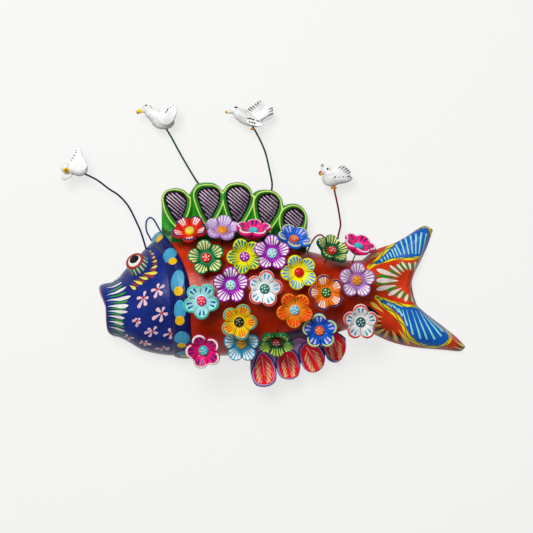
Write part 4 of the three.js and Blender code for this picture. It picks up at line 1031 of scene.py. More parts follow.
# Pelvic fin: four petals of clay luted under the belly, with a skirt smoothed up over the trunk. Mauve
# rims with a navy line, and crimson hollows painted with yellow and pink strokes from a vein.
PELVIC_THICK = 8
PELVIC_EDGE_ROUND = 3.8
PELVIC_FACE = -5.13
PELVIC_LEAN_X = 0.2
PELVIC_LEAN_Z = 0.226
PELVIC_LOBES = [
    [(99.9, -99.2), (99.9, -109.1), (97.7, -115.1), (93.5, -120.1), (88.5, -121), (83.6, -118.6),
     (81.2, -113.7)],
    [(81.2, -113.7), (80.7, -119.8), (78.6, -125), (74.4, -128.5), (68, -129.5), (62.3, -126.4),
     (58.9, -120.5)],
    [(58.9, -120.5), (58.3, -126.4), (56.6, -132.1), (52.4, -134.9), (46, -135.3), (41.3, -133.5),
     (38.2, -129.3), (37, -125.4)],
    [(37, -125.4), (37.2, -132.1), (36.1, -137), (31.9, -140.4), (24.8, -141.6), (18.4, -139.7),
     (15.6, -134.9), (13.7, -126.1), (13.7, -117.6)],
]
PELVIC_SKIRT = [
    (13, -110), (20, -100), (32, -94), (51, -88.5), (64, -86.5), (76, -88.5), (89, -92.5), (96, -96),
]
PELVIC_PANELS = [
    [(24, -111.8), (19.2, -120.8), (16.9, -127.9), (17.4, -133.4), (20.2, -137.6), (26.3, -139),
     (32.1, -137.6), (34.8, -133.8), (35.2, -127.9), (32.7, -120.2), (28.2, -114.4)],
    [(46.3, -110.5), (40.5, -113.7), (38.7, -118.9), (39.5, -125.4), (41.1, -130.2), (43.7, -133.2),
     (48.9, -133.8), (55, -132.3), (57.7, -128.3), (56.5, -122.1), (54.7, -115.7), (51.5, -111.2)],
    [(64, -104.1), (59.5, -108.6), (59.1, -113.1), (60.8, -120.2), (63.1, -125.7), (67.3, -128.7),
     (74.4, -129.1), (79.2, -126.1), (80.6, -121.5), (77.9, -113.1), (74.7, -107.9), (68.9, -104.7)],
    [(88.9, -95.7), (83.1, -101.5), (80.8, -106.6), (83.4, -112.8), (87, -117), (91.5, -118.8), (96.6, -117),
     (99.6, -111.8), (98.7, -104.1), (95.5, -97.9), (92.1, -95.4)],
]
pelvic_edge = np.concatenate([curve_through(lobe, LOBE_STEPS) for lobe in PELVIC_LOBES])
skirt = curve_through(PELVIC_SKIRT, 80)
pelvic_free = np.concatenate([pelvic_edge, skirt[:1]])
pelvic_flat, pelvic_faces, pelvic_rim = fin_blank(pelvic_free, np.concatenate([skirt, pelvic_edge[:1]]))
pelvic_x, pelvic_z = pelvic_flat.T
pelvic_panels = [patch(pelvic_flat, panel) for panel in PELVIC_PANELS]
pelvic_panel = np.minimum.reduce(pelvic_panels)
skirt_rim = line_distance(pelvic_flat, skirt)
pelvic_round = rounded(pelvic_rim, PELVIC_EDGE_ROUND)
pelvic_relief = spoon_relief(pelvic_panel, pelvic_panel, 2.4)
face = PELVIC_FACE + PELVIC_LEAN_X * pelvic_x + PELVIC_LEAN_Z * pelvic_z
blade_middle = face + PELVIC_THICK / 2
blade_front = blade_middle - (PELVIC_THICK / 2 - 0.9 + 0.6 * pelvic_relief) * pelvic_round
blade_back = blade_middle + (PELVIC_THICK / 2 - 0.3) * pelvic_round
trunk_y = surface_y(pelvic_x, pelvic_z)
skirt_lift = 2.2 * smoothstep(skirt_rim, 0, 5) - 0.4 + 0.35 * pelvic_relief
on_trunk = pelvic_z > surface_z(pelvic_x, np.minimum(blade_middle, -1), -1)
skirt_front = np.where(on_trunk, trunk_y - skirt_lift, 0)
pelvic_front = np.minimum(blade_front, skirt_front)
pelvic_back = np.where(on_trunk, np.minimum(blade_back, trunk_y + 2.5), blade_back)
pelvic_skin = np.stack([pelvic_x, pelvic_front, pelvic_z], -1)
petal_tops = np.array([panel[0] for panel in PELVIC_PANELS])
petal_lows = np.array([min(panel, key=lambda point: point[1]) for panel in PELVIC_PANELS])


def feathering(count, shift, fat):
    """Strokes that leave the vein of each petal and fan out to its rim"""
    starts, ends = [], []
    for top, low in zip(petal_tops, petal_lows):
        reach = np.linalg.norm(low - top)
        heading = math.atan2(low[1] - top[1], low[0] - top[0])
        for side in (-1, 1):
            for k in range(count):
                share = (k + shift) / count
                root = top + (low - top) * (0.1 + 0.72 * share)
                ray = towards(heading + side * math.radians(36 - 14 * share))
                starts.append(root + ray * 0.8)
                ends.append(root + ray * reach * (0.46 + 0.06 * share))
    return np.maximum(lenses(pelvic_flat, starts, ends, fat), pelvic_panel + 0.6)


vein = strokes(pelvic_flat, petal_tops + (0.2, -3), petal_lows + (0, 7), 0.5, 0.25)
pelvic_fields = {
    "panel": pelvic_panel,
    "yellow": feathering(5, 0.15, 0.55),
    "pink": feathering(5, 0.65, 0.36),
    "vein": np.maximum(vein, pelvic_panel + 0.5),
    "navy": np.abs(pelvic_panel - 1.9 - 0.25 * uneven(pelvic_skin, 7)) - 0.6,
    # Painted shade: the top of the petals and the skirt, tucked under the belly, are painted dark purple
    "base": 3 - (pelvic_z + 112 + 2 * np.sin(pelvic_x * 0.3)) / 4,
}
pelvic = slab("pelvic_clay", pelvic_flat, pelvic_faces, pelvic_front, pelvic_back, pelvic_fields,
              pelvic_rim - FIN_BARE)
pelvic.data.materials.append(painted("fin_mauve_gloss", "B48CC4", [
    # The dark purple base layer is painted shade under the belly
    ("base", "4A2A50"), ("navy", "0F1E6E"), ("panel", "FF1230"), ("pink", "F8B4C0"),
    ("yellow", "F8E884"), ("vein", "F2B4B0"),
], wobble=0.2))
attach(pelvic, "fish")
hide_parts("pelvic_fin")

# Hanging loops: two lengths of painted iron wire bent by hand, with both ends pushed into the clay of the
# gill band and of the back before firing. They hang the fish on two nails.
LOOP_WIRE = 1.5
LOOP_Y = -3.2
WIRE_DEPTH = 4
WIRE_SIDES = 14
LOOP_PATH_STEPS = 110
BAND_RISE = 7
ENAMEL_SPECULAR = 0.06


def node_tree(name, inputs):
    """A geometry node tree with named inputs, and its input sockets"""
    tree = bpy.data.node_groups.new(name, "GeometryNodeTree")
    tree.interface.new_socket("Geometry", in_out="OUTPUT", socket_type="NodeSocketGeometry")
    tree.interface.new_socket("Geometry", in_out="INPUT", socket_type="NodeSocketGeometry")
    for label, kind in inputs:
        tree.interface.new_socket(label, in_out="INPUT", socket_type="NodeSocket" + kind)
    return tree, add(tree, "NodeGroupInput").outputs


def end_tree(tree, geometry, material):
    """Closes a node tree: instances made real, and the paint set"""
    solid = add(tree, "GeometryNodeRealizeInstances", {"Geometry": geometry}).outputs[0]
    dressed = add(tree, "GeometryNodeSetMaterial", {"Geometry": solid, "Material": material}).outputs[0]
    tree.links.new(dressed, add(tree, "NodeGroupOutput").inputs[0])


def wire_tree():
    """A round wire with closed ends along every line of points"""
    tree, given = node_tree("wire", [("Radius", "Float"), ("Sides", "Int"), ("Material", "Material")])
    path = add(tree, "GeometryNodeMeshToCurve", {"Mesh": given["Geometry"]}).outputs[0]
    ring = add(tree, "GeometryNodeCurvePrimitiveCircle", {
        "Resolution": given["Sides"], "Radius": given["Radius"]}).outputs[0]
    tube = add(tree, "GeometryNodeCurveToMesh", {
        "Curve": path, "Profile Curve": ring, "Fill Caps": True}).outputs[0]
    smooth = add(tree, "GeometryNodeSetShadeSmooth", {"Geometry": tube}).outputs[0]
    end_tree(tree, smooth, given["Material"])
    return tree


def finished(holder):
    """The plain mesh that an object's modifiers make of it"""
    graph = bpy.context.evaluated_depsgraph_get()
    mesh = bpy.data.meshes.new_from_object(
        holder.evaluated_get(graph), preserve_all_data_layers=True, depsgraph=graph)
    bpy.data.objects.remove(holder)
    return mesh


def built(source, tree, sizes):
    """The plain mesh that a node tree makes from a source mesh"""
    holder = show(tree.name + "_source", source)
    modifier = holder.modifiers.new("build", "NODES")
    modifier.node_group = tree
    for item in tree.interface.items_tree:
        if item.in_out == "INPUT" and item.name in sizes:
            modifier[item.identifier] = sizes[item.name]
    return finished(holder)


WIRE_TREE = wire_tree()


def wires(name, paths, width, material):
    """Wires of one width along paths in mm, as one piece"""
    source = bpy.data.meshes.new(name + "_paths")
    starts = np.cumsum([0] + [len(path) for path in paths])
    edges = [(k, k + 1) for a, b in zip(starts[:-1], starts[1:]) for k in range(a, b - 1)]
    source.from_pydata(np.concatenate(paths) * MM, edges, [])
    mesh = built(source, WIRE_TREE, {"Radius": width / 2 * MM, "Sides": WIRE_SIDES, "Material": material})
    mesh.name = name
    tidy(mesh)
    return show(name, mesh)


def wire_paint(name, coat, worn, rough=0.42, bare_below=-1.0):
    """Brushed enamel on iron wire, thin in places, and left off below a height"""
    material, tree, shader, place = new_material(name)
    worn_spots = rescale(tree, noise(tree, place, 260, 4), 0.62, 0.74)
    up = add(tree, "ShaderNodeSeparateXYZ", {"Vector": place}).outputs["Z"]
    wear = maths(tree, "MAXIMUM", worn_spots, rescale(tree, up, bare_below - MM, bare_below + MM, 1, 0))
    tree.links.new(blend(tree, wear, srgb(coat), srgb(worn)), shader.inputs["Base Color"])
    sheen = rescale(tree, noise(tree, place, 700, 3), 0.3, 0.7, rough - 0.12, rough + 0.15)
    tree.links.new(sheen, shader.inputs["Roughness"])
    grain = noise(tree, place, 1800, 3)
    bump = add(tree, "ShaderNodeBump", {"Height": grain, "Strength": 0.15, "Distance": 0.2 * MM})
    tree.links.new(bump.outputs[0], shader.inputs["Normal"])
    shader.inputs["Specular IOR Level"].default_value = ENAMEL_SPECULAR
    return material


def set_in(points):
    """A path whose first point is on the clay, started WIRE_DEPTH below it"""
    points = np.array(points, float)
    return np.concatenate([[points[0] + unit(points[0] - points[1]) * WIRE_DEPTH], points])


def over_clay(x, y, grow):
    """Height of the clay's top edge over x and y, where the clay is grown by grow"""
    middle, half, _, angle = surface_angle(
        np.array(float(x)), lambda middle, half, depth: np.arcsin(np.clip(-y / depth, 0, 1)), grow)
    return float(middle + half * np.cos(angle))


def loop_path(feet, bend, grow):
    """A loop's path from under the clay at one foot, round its bend, to under the clay at the other"""
    first, last = [(x, over_clay(x, LOOP_Y, grow)) for x in feet]
    points = [(x, LOOP_Y, z) for x, z in [first, *bend, last]]
    return curve_through(np.concatenate([set_in(points), set_in(points[::-1])[:1]]), LOOP_PATH_STEPS)


# Each loop: the x of its feet, its bend in x and z, the clay over the body at its feet, and its enamel
LOOPS = {
    "left": ([-77.8, -67.6], [(-80.2, -3), (-81, 2.7), (-80, 7.6), (-77.3, 9.9), (-74.3, 8.4), (-70.8, 2.7)],
             BAND_RISE, "blue", "1C3E80", "203868"),
    "right": ([65.4, 82], [(68.6, -13.3), (73, -7.3), (77, -5.7), (80.9, -8.8), (82, -17)],
              0, "brown", "8A2814", "5C1C10"),
}
for side, (feet, bend, grow, hue, coat, worn) in LOOPS.items():
    enamel = wire_paint("loop_%s_enamel" % hue, coat, worn)
    loop = wires("loop_%s_wire" % side, [loop_path(feet, bend, grow)], LOOP_WIRE, enamel)
    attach(loop, "fish")
    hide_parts("loop_" + side)

# Flower stems: short straight lengths of dark annealed wire. One end is fixed in the trunk and the other
# in the foot of a flower head.
STEM_WIRE = 1.1


def mesh_points(mesh):
    """The points of a mesh in mm"""
    points = np.zeros(len(mesh.vertices) * 3)
    mesh.vertices.foreach_get("co", points)
    return points.reshape(-1, 3) / MM


def node_points(node):
    return mesh_points(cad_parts[node].data)


def flower_seat(name):
    """The middle of a stem's wire, its direction outwards, its half length and the foot of its head"""
    stem, head_points = node_points("stem_" + name), node_points("flower_" + name)
    middle = (stem.min(0) + stem.max(0)) / 2
    facing = np.linalg.svd(stem - stem.mean(0))[2][0]
    facing = facing if (head_points.mean(0) - middle) @ facing > 0 else -facing
    middle = middle + facing * ((stem - middle) @ facing).mean()
    half = np.ptp(stem @ facing) / 2
    foot = middle + facing * ((head_points - middle) @ facing).min()
    return middle, facing, half, foot


FLOWER_NAMES = sorted(node[len("flower_"):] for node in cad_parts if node.startswith("flower_"))
seats = {name: flower_seat(name) for name in FLOWER_NAMES}
stem_paths = [np.linspace(middle - facing * half, middle + facing * half, 9)
              for middle, facing, half, _ in seats.values()]
stems = wires("flower_stems", stem_paths, STEM_WIRE, wire_paint("stem_iron", "4A2C20", "2A1A14", 0.5))
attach(stems, "fish")
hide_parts(*["stem_" + name for name in FLOWER_NAMES])

# Flower heads: a lump of clay pinched into a cup of five round petals, with a button pressed in its middle.
# Each is painted in one gloss colour, then striped or rimmed with a fine brush, and its button is dotted.
# The creases between the petals are painted darker, as painted shade.
PETALS = 5
PETAL_CENTRE = 9
PETAL_RADIUS = 6.4
PETAL_COLUMNS = 34
BUTTON_RADIUS = 4.1
DISH_FLOOR = 6.6
PETAL_TOP = 12
HALF_PETAL = math.pi / PETALS
# Profiles as radius and height, and the rim's as depth inwards and height
FOOT_PROFILE = [(0.01, 0.5), (2.4, 0.3), (3.9, 0), (4.5, 0.35), (4.9, 1.1)]
RIM_PROFILE = [(0, 10.1), (0.15, 10.8), (0.5, 11.4), (1, 11.8), (1.5, PETAL_TOP)]
BUTTON_PROFILE = [
    (4.5, 6.5), (4.1, 6.7), (4.15, 7.3), (4.1, 7.9), (3.9, 8.5), (3.6, 9), (3.2, 9.35), (2.7, 9.6),
    (2.2, 9.78), (1.7, 9.88), (1.2, 9.95), (0.7, 9.98), (0.3, 10), (0.01, 10),
]


def petal_reach(turn):
    """How far out the petals' edge is at a turn from the middle of one"""
    bow = PETAL_RADIUS ** 2 - (PETAL_CENTRE * np.sin(turn)) ** 2
    return PETAL_CENTRE * np.cos(turn) + np.sqrt(np.maximum(bow, 0))


def petal_wedge():
    """One fifth of a flower head from its foot over the rim to the top of its button, with its paint"""
    turn = np.linspace(-HALF_PETAL, HALF_PETAL, PETAL_COLUMNS)
    reach = petal_reach(turn)
    rows = [(r, z, False) for r, z in FOOT_PROFILE]
    low_r, low_z = FOOT_PROFILE[-1]
    rows += [(low_r + t * (reach - low_r), low_z + 8.1 * t ** 1.25, False) for t in np.linspace(0.08, 1, 14)]
    rows += [(reach - inward, z, inward >= 0.5) for inward, z in RIM_PROFILE]
    rows += [(5 + t * (reach - 6.5), DISH_FLOOR + 5.4 * t ** 1.15, True) for t in np.linspace(0.97, 0, 34)]
    rows += [(r, z, True) for r, z in BUTTON_PROFILE]
    radius, height = (np.array([np.broadcast_to(row[k], turn.shape) for row in rows]) for k in (0, 1))
    front = np.array([row[2] for row in rows])[:, None] & (radius > 4.3)
    crease = radius * np.sin(HALF_PETAL - np.abs(turn))
    puff = 1.5 * np.exp(-(crease / 1.25) ** 2) * smoothstep(radius, 4.6, 7.5)
    height = height - np.where(front, puff, 0)
    pad = np.clip(1 - ((radius - PETAL_CENTRE - 0.6) / 5.4) ** 2, 0, 1)
    pad = pad * np.clip(1 - (turn / HALF_PETAL) ** 2, 0, 1)
    height = np.minimum(height + np.where(front, 0.75 * pad, 0), PETAL_TOP)
    flat = towards(turn) * radius[..., None]
    hidden = np.where(front, 0, FAR)

    def brushed(turns, begin, finish, thin, fat):
        """Strokes outwards along the petal, from their begin to their finish"""
        rays = towards(np.radians(turns))
        starts, ends = (rays * np.reshape(reach, (-1, 1)) for reach in (begin, finish))
        return strokes(flat, starts, ends, thin, fat) + hidden

    fine = [-25, -13, 0, 13, 25]
    fine_reach = petal_reach(np.radians(fine)) - [2.4, 2.1, 2, 2.1, 2.4]
    fields = {
        "stripe": brushed(fine, [8, 7.2, 6.9, 7.3, 8.1], fine_reach, 0.2, 0.95),
        "broad": brushed([-10, 1, 11], 7.2, 12.2, 0.25, 0.65),
        "dash": brushed([-9, 9], 8, 11.4, 0.4, 0.9),
        "rim": np.maximum(np.abs(reach - radius - 1.35) - 0.75, (np.abs(turn) - 0.52) * 10) + hidden,
        # Painted shade: the coat darkened along the creases where the petals meet
        "crease": np.maximum(crease - 0.32, 5 - radius) + hidden,
        "button": np.where(front | (height < 6.55), FAR, radius - BUTTON_RADIUS - 0.3),
    }
    dots = np.minimum(np.hypot(flat[..., 0] - 2.35, flat[..., 1]), radius) - 0.6
    fields["dot"] = np.where(height > 8.6, dots, FAR)
    _, faces = grid_faces(*radius.shape)
    mesh = bpy.data.meshes.new("petal_wedge")
    mesh.from_pydata(np.concatenate([flat, height[..., None]], -1).reshape(-1, 3) * MM, [], faces)
    set_fields(mesh, fields)
    return mesh


def ring_tree():
    """Copies of a wedge turned about the flower's axis and welded into a closed head"""
    tree, given = node_tree("petal_ring", [("Petals", "Int"), ("Seam", "Float"), ("Material", "Material")])
    step = maths(tree, "DIVIDE", 2 * math.pi, given["Petals"])
    places = add(tree, "GeometryNodeMeshLine", {"Count": given["Petals"], "Offset": (0, 0, 0)}).outputs[0]
    index = add(tree, "GeometryNodeInputIndex").outputs[0]
    angle = maths(tree, "MULTIPLY", index, step)
    spin = add(tree, "ShaderNodeCombineXYZ", {"Z": angle}).outputs[0]
    copies = add(tree, "GeometryNodeInstanceOnPoints", {
        "Points": places, "Instance": given["Geometry"], "Rotation": spin}).outputs[0]
    solid = add(tree, "GeometryNodeRealizeInstances", {"Geometry": copies}).outputs[0]
    welded = add(tree, "GeometryNodeMergeByDistance", {
        "Geometry": solid, "Distance": given["Seam"]}).outputs[0]
    smooth = add(tree, "GeometryNodeSetShadeSmooth", {"Geometry": welded}).outputs[0]
    end_tree(tree, smooth, given["Material"])
    return tree


WEDGE = petal_wedge()
RING_TREE = ring_tree()
WHITE, NAVY = "F7F5F0", "1A1C6E"
# Each flower: coat, brush marks as field and colour, button, dot, and the end of its slot's name
FLOWERS = {
    "red": ("DE2410", [("rim", NAVY), ("broad", WHITE)], "F2E01C", "58B4DC", "red"),
    "lilac_top": ("B88CD2", [("stripe", "EEE0F8")], "F09A1E", "A85A10", "lilac"),
    "pink_top": ("EE2480", [("rim", WHITE), ("dash", NAVY)], "3CC0CC", "A8E4E0", "pink"),
    "blue_top": ("1F6ADE", [("rim", "D8E87C"), ("dash", "D8C4F0")], "F06014", "F4D8C0", "blue"),
    "green_cup": ("0A5A32", [("stripe", "DCE882")], "CC2A1C", "F0D8D0", "dark_green"),
    "pink_cup": ("F0187E", [("rim", WHITE), ("dash", "14205C")], "38B8CC", "88D8DC", "pink"),
    "green": ("0A8048", [("stripe", "F4F2A2")], "E8140C", "F8F0EA", "green"),
    "lime": ("E6E400", [("stripe", "0A8C74")], "A81CB4", "F4E8F4", "lime"),
    "purple_right": ("AC2ABC", [("stripe", WHITE)], "A8F0EC", "A83A24", "purple"),
    "yellow": ("F8EC00", [("stripe", "3AA6E4")], "EC1C10", "1C1420", "yellow"),
    "lilac_right": ("B27CC8", [("stripe", WHITE)], "F0982C", "6A4420", "lilac"),
    "aqua": ("AAF4F2", [("rim", "2CC8A8"), ("dash", "1450A4")], "F01C78", "F4D048", "aqua"),
    "purple_left": ("A020AE", [("stripe", WHITE)], "A8F0E8", "9C5A3C", "purple"),
    "white_left": ("F6F5F1", [("rim", "EE2814"), ("dash", "4CB4DC")], "0A7A6A", "F2F6F2", "white"),
    "orange_right": ("FA7A12", [("rim", "24206A"), ("broad", WHITE)], "0A6A3A", "D8E89A", "orange"),
    "gold": ("FAC410", [("rim", "1CA0A4"), ("broad", "EE4614")], "141210", "98A040", "gold"),
    "orange_left": ("FA8A10", [("stripe", "F02A08")], "9CD8EC", "10181C", "orange"),
    "blue_low": ("0A5ED6", [("rim", "D8EE6A"), ("dash", "D8C8F0")], "F05A10", "FAD0A0", "blue"),
    "white_right": ("F6F5F1", [("rim", "EC1C10"), ("dash", "2A94BC")], "0C5A56", "E8F4F0", "white"),
    "crimson": ("DE1470", [("rim", WHITE), ("dash", "1C2070")], "2CBCD0", "E8E060", "crimson"),
    "sky": ("3CAAD8", [("stripe", WHITE)], "F2B418", "1C2870", "sky"),
    "green_low": ("0A6030", [("stripe", "C8E85C")], "9A2018", "F2E4E0", "dark_green"),
}
HEAD_SPREAD = 1.06
WEDGE_SEAM = 0.03 * MM
# Share of the coat's brightness used for the painted shade in the petal creases
PAINTED_CREASE_SHADE = 0.3
# Degrees that a head is bent up on its stem, and turned round it, by the hand that set it
BENT_UP = {"pink_top": 14, "blue_top": 14, "lilac_top": 10, "red": 6, "green_low": -15}
TURNED = {"blue_low": 5}


def turned(vector, axis, degrees):
    return np.array(Matrix.Rotation(math.radians(degrees), 3, Vector(axis)) @ Vector(vector))


def flower_head(name, coat, marks, button, dot):
    """A head seated on its stem as the frame has it, a little uneven as hand-pinched clay is"""
    _, facing, _, foot = seats[name]
    away = node_points("flower_" + name) - foot
    aside = away - np.outer(away @ facing, facing)
    tip = aside[np.argmax(np.linalg.norm(aside, axis=1))]
    tip = turned(unit(tip), facing, TURNED.get(name, 0))
    sideways = np.cross(facing, [0, 0, 1])
    tip, facing = [turned(ray, sideways, BENT_UP.get(name, 0)) for ray in (tip, facing)]
    # The first layer is painted shade: the coat darkened along the petal creases
    layers = [("crease", coat, PAINTED_CREASE_SHADE), *marks, ("button", button), ("dot", dot)]
    paint = painted("flower_%s_gloss" % name, coat, layers, wobble=0.15, clay=False)
    mesh = built(WEDGE, RING_TREE, {"Petals": PETALS, "Seam": WEDGE_SEAM, "Material": paint})
    points = mesh_points(mesh) * (HEAD_SPREAD, HEAD_SPREAD, 1)
    turn = np.arctan2(points[:, 1], points[:, 0])
    share = smoothstep(np.hypot(points[:, 0], points[:, 1]), 4, 15)
    phase = FLOWER_NAMES.index(name) * 1.7
    points[:, :2] *= (1 - 0.02 * share * (1 + np.sin(2 * turn + phase)))[:, None]
    points[:, 2] -= 0.35 * share * (1 + np.sin(turn + 2 * phase)) * smoothstep(points[:, 2], 3, 9)
    placed = foot + points @ np.array([tip, np.cross(facing, tip), facing])
    mesh.vertices.foreach_set("co", (placed * MM).ravel())
    mesh.name = "flower_head_" + name
    tidy(mesh, 60)
    return show("flower_head_" + name, mesh)


for name, (coat, marks, button, dot, slot) in FLOWERS.items():
    flower = flower_head(name, coat, marks, button, dot)
    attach(flower, "fish")
    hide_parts("flower_" + name)

# Bird wires: long thin iron wires, brushed with enamel and set in blind holes in the head, the second and
# fourth lobes of the back fin, and the back. Their spring lets the birds sway.
BIRD_WIRE = 1.65
BIRD_WIRE_REACH = 3.5
BIRD_PATH_STEPS = 90
FIN_MIDDLE = -11
# Each wire: its foot where it leaves the clay, the points it passes, the middle of its bird, and its enamel
BIRD_WIRES = {
    "left": ((-80.4, -7, -19),
             [(-85.1, -7.5, -3.7), (-88.9, -8, 5.2), (-97.1, -9, 21), (-105.5, -11, 30.1),
              (-113.3, -12, 35.2), (-124.1, -14, 43.3)],
             (-139.5, -16, 51), "wire_blue"),
    "high_left": ((-32.8, FIN_MIDDLE, 39.7),
                  [(-34.9, FIN_MIDDLE, 42.6), (-48, -11.2, 64.5), (-60.5, -11.5, 87)],
                  (-69.3, -12, 99), "wire_green"),
    "high_right": ((32.6, FIN_MIDDLE, 32.7),
                   [(33.2, FIN_MIDDLE, 40), (30.7, -11.2, 53.3), (26.5, -11.4, 69.9), (18.6, -11.7, 86.6)],
                   (9, -12, 101.5), "wire_green"),
    "right": ((89.4, -7, -27),
              [(92, -7, -12), (93.5, -7.5, -3.9), (94.9, -8, 2.4), (93.5, -10, 13.6), (91.2, -12, 25.3),
               (89.2, -13, 35)],
              (90, -14, 46.5), "wire_brown"),
}
ENAMELS = {
    "wire_blue": wire_paint("bird_wire_blue_enamel", "0C1C48", "101C38"),
    "wire_green": wire_paint("bird_wire_green_enamel", "0A4A16", "2A1E14", bare_below=45 * MM),
    "wire_brown": wire_paint("bird_wire_brown_enamel", "741E14", "54160E"),
}
for name, (foot, route, middle, slot) in BIRD_WIRES.items():
    points = [np.array(point, float) for point in (foot, *route, middle)]
    points[-1] = points[-1] - unit(points[-1] - points[-2]) * BIRD_WIRE_REACH
    path = curve_through(set_in(points), BIRD_PATH_STEPS)
    bird_wire = wires("bird_wire_%s_iron" % name, [path], BIRD_WIRE, ENAMELS[slot])
    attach(bird_wire, "bird_%s_on_wire" % name)
    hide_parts("bird_wire_" + name)

# Birds: small lumps of clay pinched into doves, with thin wings pressed on, dipped in white gloss. Eyes,
# beaks, feet and feather strokes are put on with a fine brush. Each sits on the end of its wire.
BIRD_VOXEL = 0.34
BIRD_SMOOTHING = 9
DAB_VOXEL = 0.25
DAB_SMOOTHING = 1
WING_HALF = 1.25
INK_THIN = 0.25
INK_FAT = 0.6


def pinch(middle, size, raised=0.0):
    """A pinched lump: its middle, its half sizes and the rise of its right end"""
    lump = bmesh.new()
    turn = Matrix.Rotation(-math.radians(raised), 4, "Y")
    place = Matrix.Translation(Vector(middle)) @ turn @ Matrix.Diagonal((*size, 1))
    bmesh.ops.create_uvsphere(lump, u_segments=32, v_segments=20, radius=1, matrix=place)
    return lump


def wing(outline, y, lean=0.0):
    """A thin wing pressed from an outline of x and z, leaning off the body towards its tip"""
    plate = bmesh.new()
    rim = loop_through(outline)
    low = rim[:, 1].min()
    sides = [[plate.verts.new((u, y + (v - low) * lean + out, v)) for u, v in rim]
             for out in (-WING_HALF, WING_HALF)]
    plate.faces.new(sides[0])
    plate.faces.new(sides[1][::-1])
    for k in range(len(rim)):
        j = (k + 1) % len(rim)
        plate.faces.new((sides[0][k], sides[1][k], sides[1][j], sides[0][j]))
    bmesh.ops.triangulate(plate, faces=plate.faces)
    return plate


def clay_lump(name, parts, voxel, smoothing):
    """Closed parts pressed together into one skin, and softened"""
    mesh = bpy.data.meshes.new(name)
    whole = bmesh.new()
    for part in parts:
        bmesh.ops.recalc_face_normals(part, faces=part.faces)
        part.to_mesh(mesh)
        part.free()
        whole.from_mesh(mesh)
    whole.to_mesh(mesh)
    whole.free()
    mesh.transform(Matrix.Scale(MM, 4))
    lump = show(name + "_lump", mesh)
    skin = lump.modifiers.new("skin", "REMESH")
    skin.mode = "VOXEL"
    skin.voxel_size = voxel * MM
    soft = lump.modifiers.new("soft", "SMOOTH")
    soft.iterations = smoothing
    return finished(lump)


WHITE_GLOSS = painted("bird_white_gloss", "F2F1EE", [
    ("grey", "9A9A98"), ("ink", "141416"), ("foot", "D88A12"), ("beak", "F6D400"),
    ("beak_tip", "D8320C"),
], wobble=0.2, clay=False)


def bird(name, solids, beak, tip, ink, eye, foot=None, grey=()):
    """A bird from its lumps and wings; its beak's red tip, ink strokes, eye and grey dabs are brushed on"""
    meshes = [clay_lump("bird_" + name, solids, BIRD_VOXEL, BIRD_SMOOTHING)]
    for dab in (beak, foot):
        if dab:
            meshes.append(clay_lump("bird_%s_dab" % name, [pinch(*dab)], DAB_VOXEL, DAB_SMOOTHING))
    for mesh, kind in zip(meshes, ("body", "beak", "foot")):
        points = mesh_points(mesh)
        far = np.full(len(points), FAR)
        fields = dict.fromkeys(("ink", "grey", "foot", "beak", "beak_tip"), far)
        if kind == "body":
            flat = points[:, [0, 2]]
            starts, ends = (np.array([stroke[k:k + 2] for stroke in ink]) for k in (0, 2))
            fat = [stroke[4] if len(stroke) > 4 else INK_FAT for stroke in ink]
            marks = strokes(flat, starts, ends, INK_THIN, fat)
            fields["ink"] = np.minimum(marks, ovals(flat, [eye[:2]], *eye[2:], 0))
            radii = [dab[2] for dab in grey]
            fields["grey"] = ovals(flat, [dab[:2] for dab in grey], radii, radii, 0)
        else:
            fields[kind] = -far
        if kind == "beak":
            fields["beak_tip"] = np.linalg.norm(points - tip[:3], axis=1) - tip[3]
        set_fields(mesh, fields)
        mesh.materials.append(WHITE_GLOSS)
        mesh.shade_smooth()
    whole = join([show("bird_%s_clay" % name if k == 0 else "bird_%s_dab_%d" % (name, k), mesh)
                  for k, mesh in enumerate(meshes)])
    whole.data.name = whole.name
    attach(whole, "bird_%s_on_wire" % name)
    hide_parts("bird_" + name)


# The left bird faces out from the wall, with one wing raised
bird("left", [
    pinch((-139.6, -16, 53), (7.6, 6.6, 6.6)), pinch((-146, -16.5, 52.5), (5.4, 5, 4.6)),
    pinch((-151.6, -17.5, 53.6), (4.4, 4.6, 4.6)), pinch((-154.6, -16.5, 52.9), (1.7, 1.2, 0.9), -8),
    wing([(-147.4, 56.5), (-144.6, 64.6), (-142, 70.8), (-140.2, 72.7), (-138.4, 71.2), (-136.6, 65.4),
          (-133.4, 59), (-132.6, 54), (-138, 51)], -20.5, 0.24),
    wing([(-145.8, 47), (-149.5, 44.4), (-153, 42.6), (-155, 43.4), (-155.2, 46), (-153, 49.4), (-148, 52)],
         -17.4),
], beak=((-150.8, -21.4, 51.7), (2.5, 1.9, 2.4), 0), tip=(-150.7, -23.4, 51.4, 1.25), ink=[
    (-146, 61.3, -146.1, 60.6), (-144.6, 63, -144.9, 62.2), (-144.3, 65, -144.7, 64.6),
    (-143, 65.3, -143.6, 64.8), (-142.5, 68, -142.5, 67.7), (-142.2, 69.9, -142.2, 69.6),
    (-142, 71.6, -142, 71.4),
], eye=(-154.2, 57.2, 0.45, 0.45))

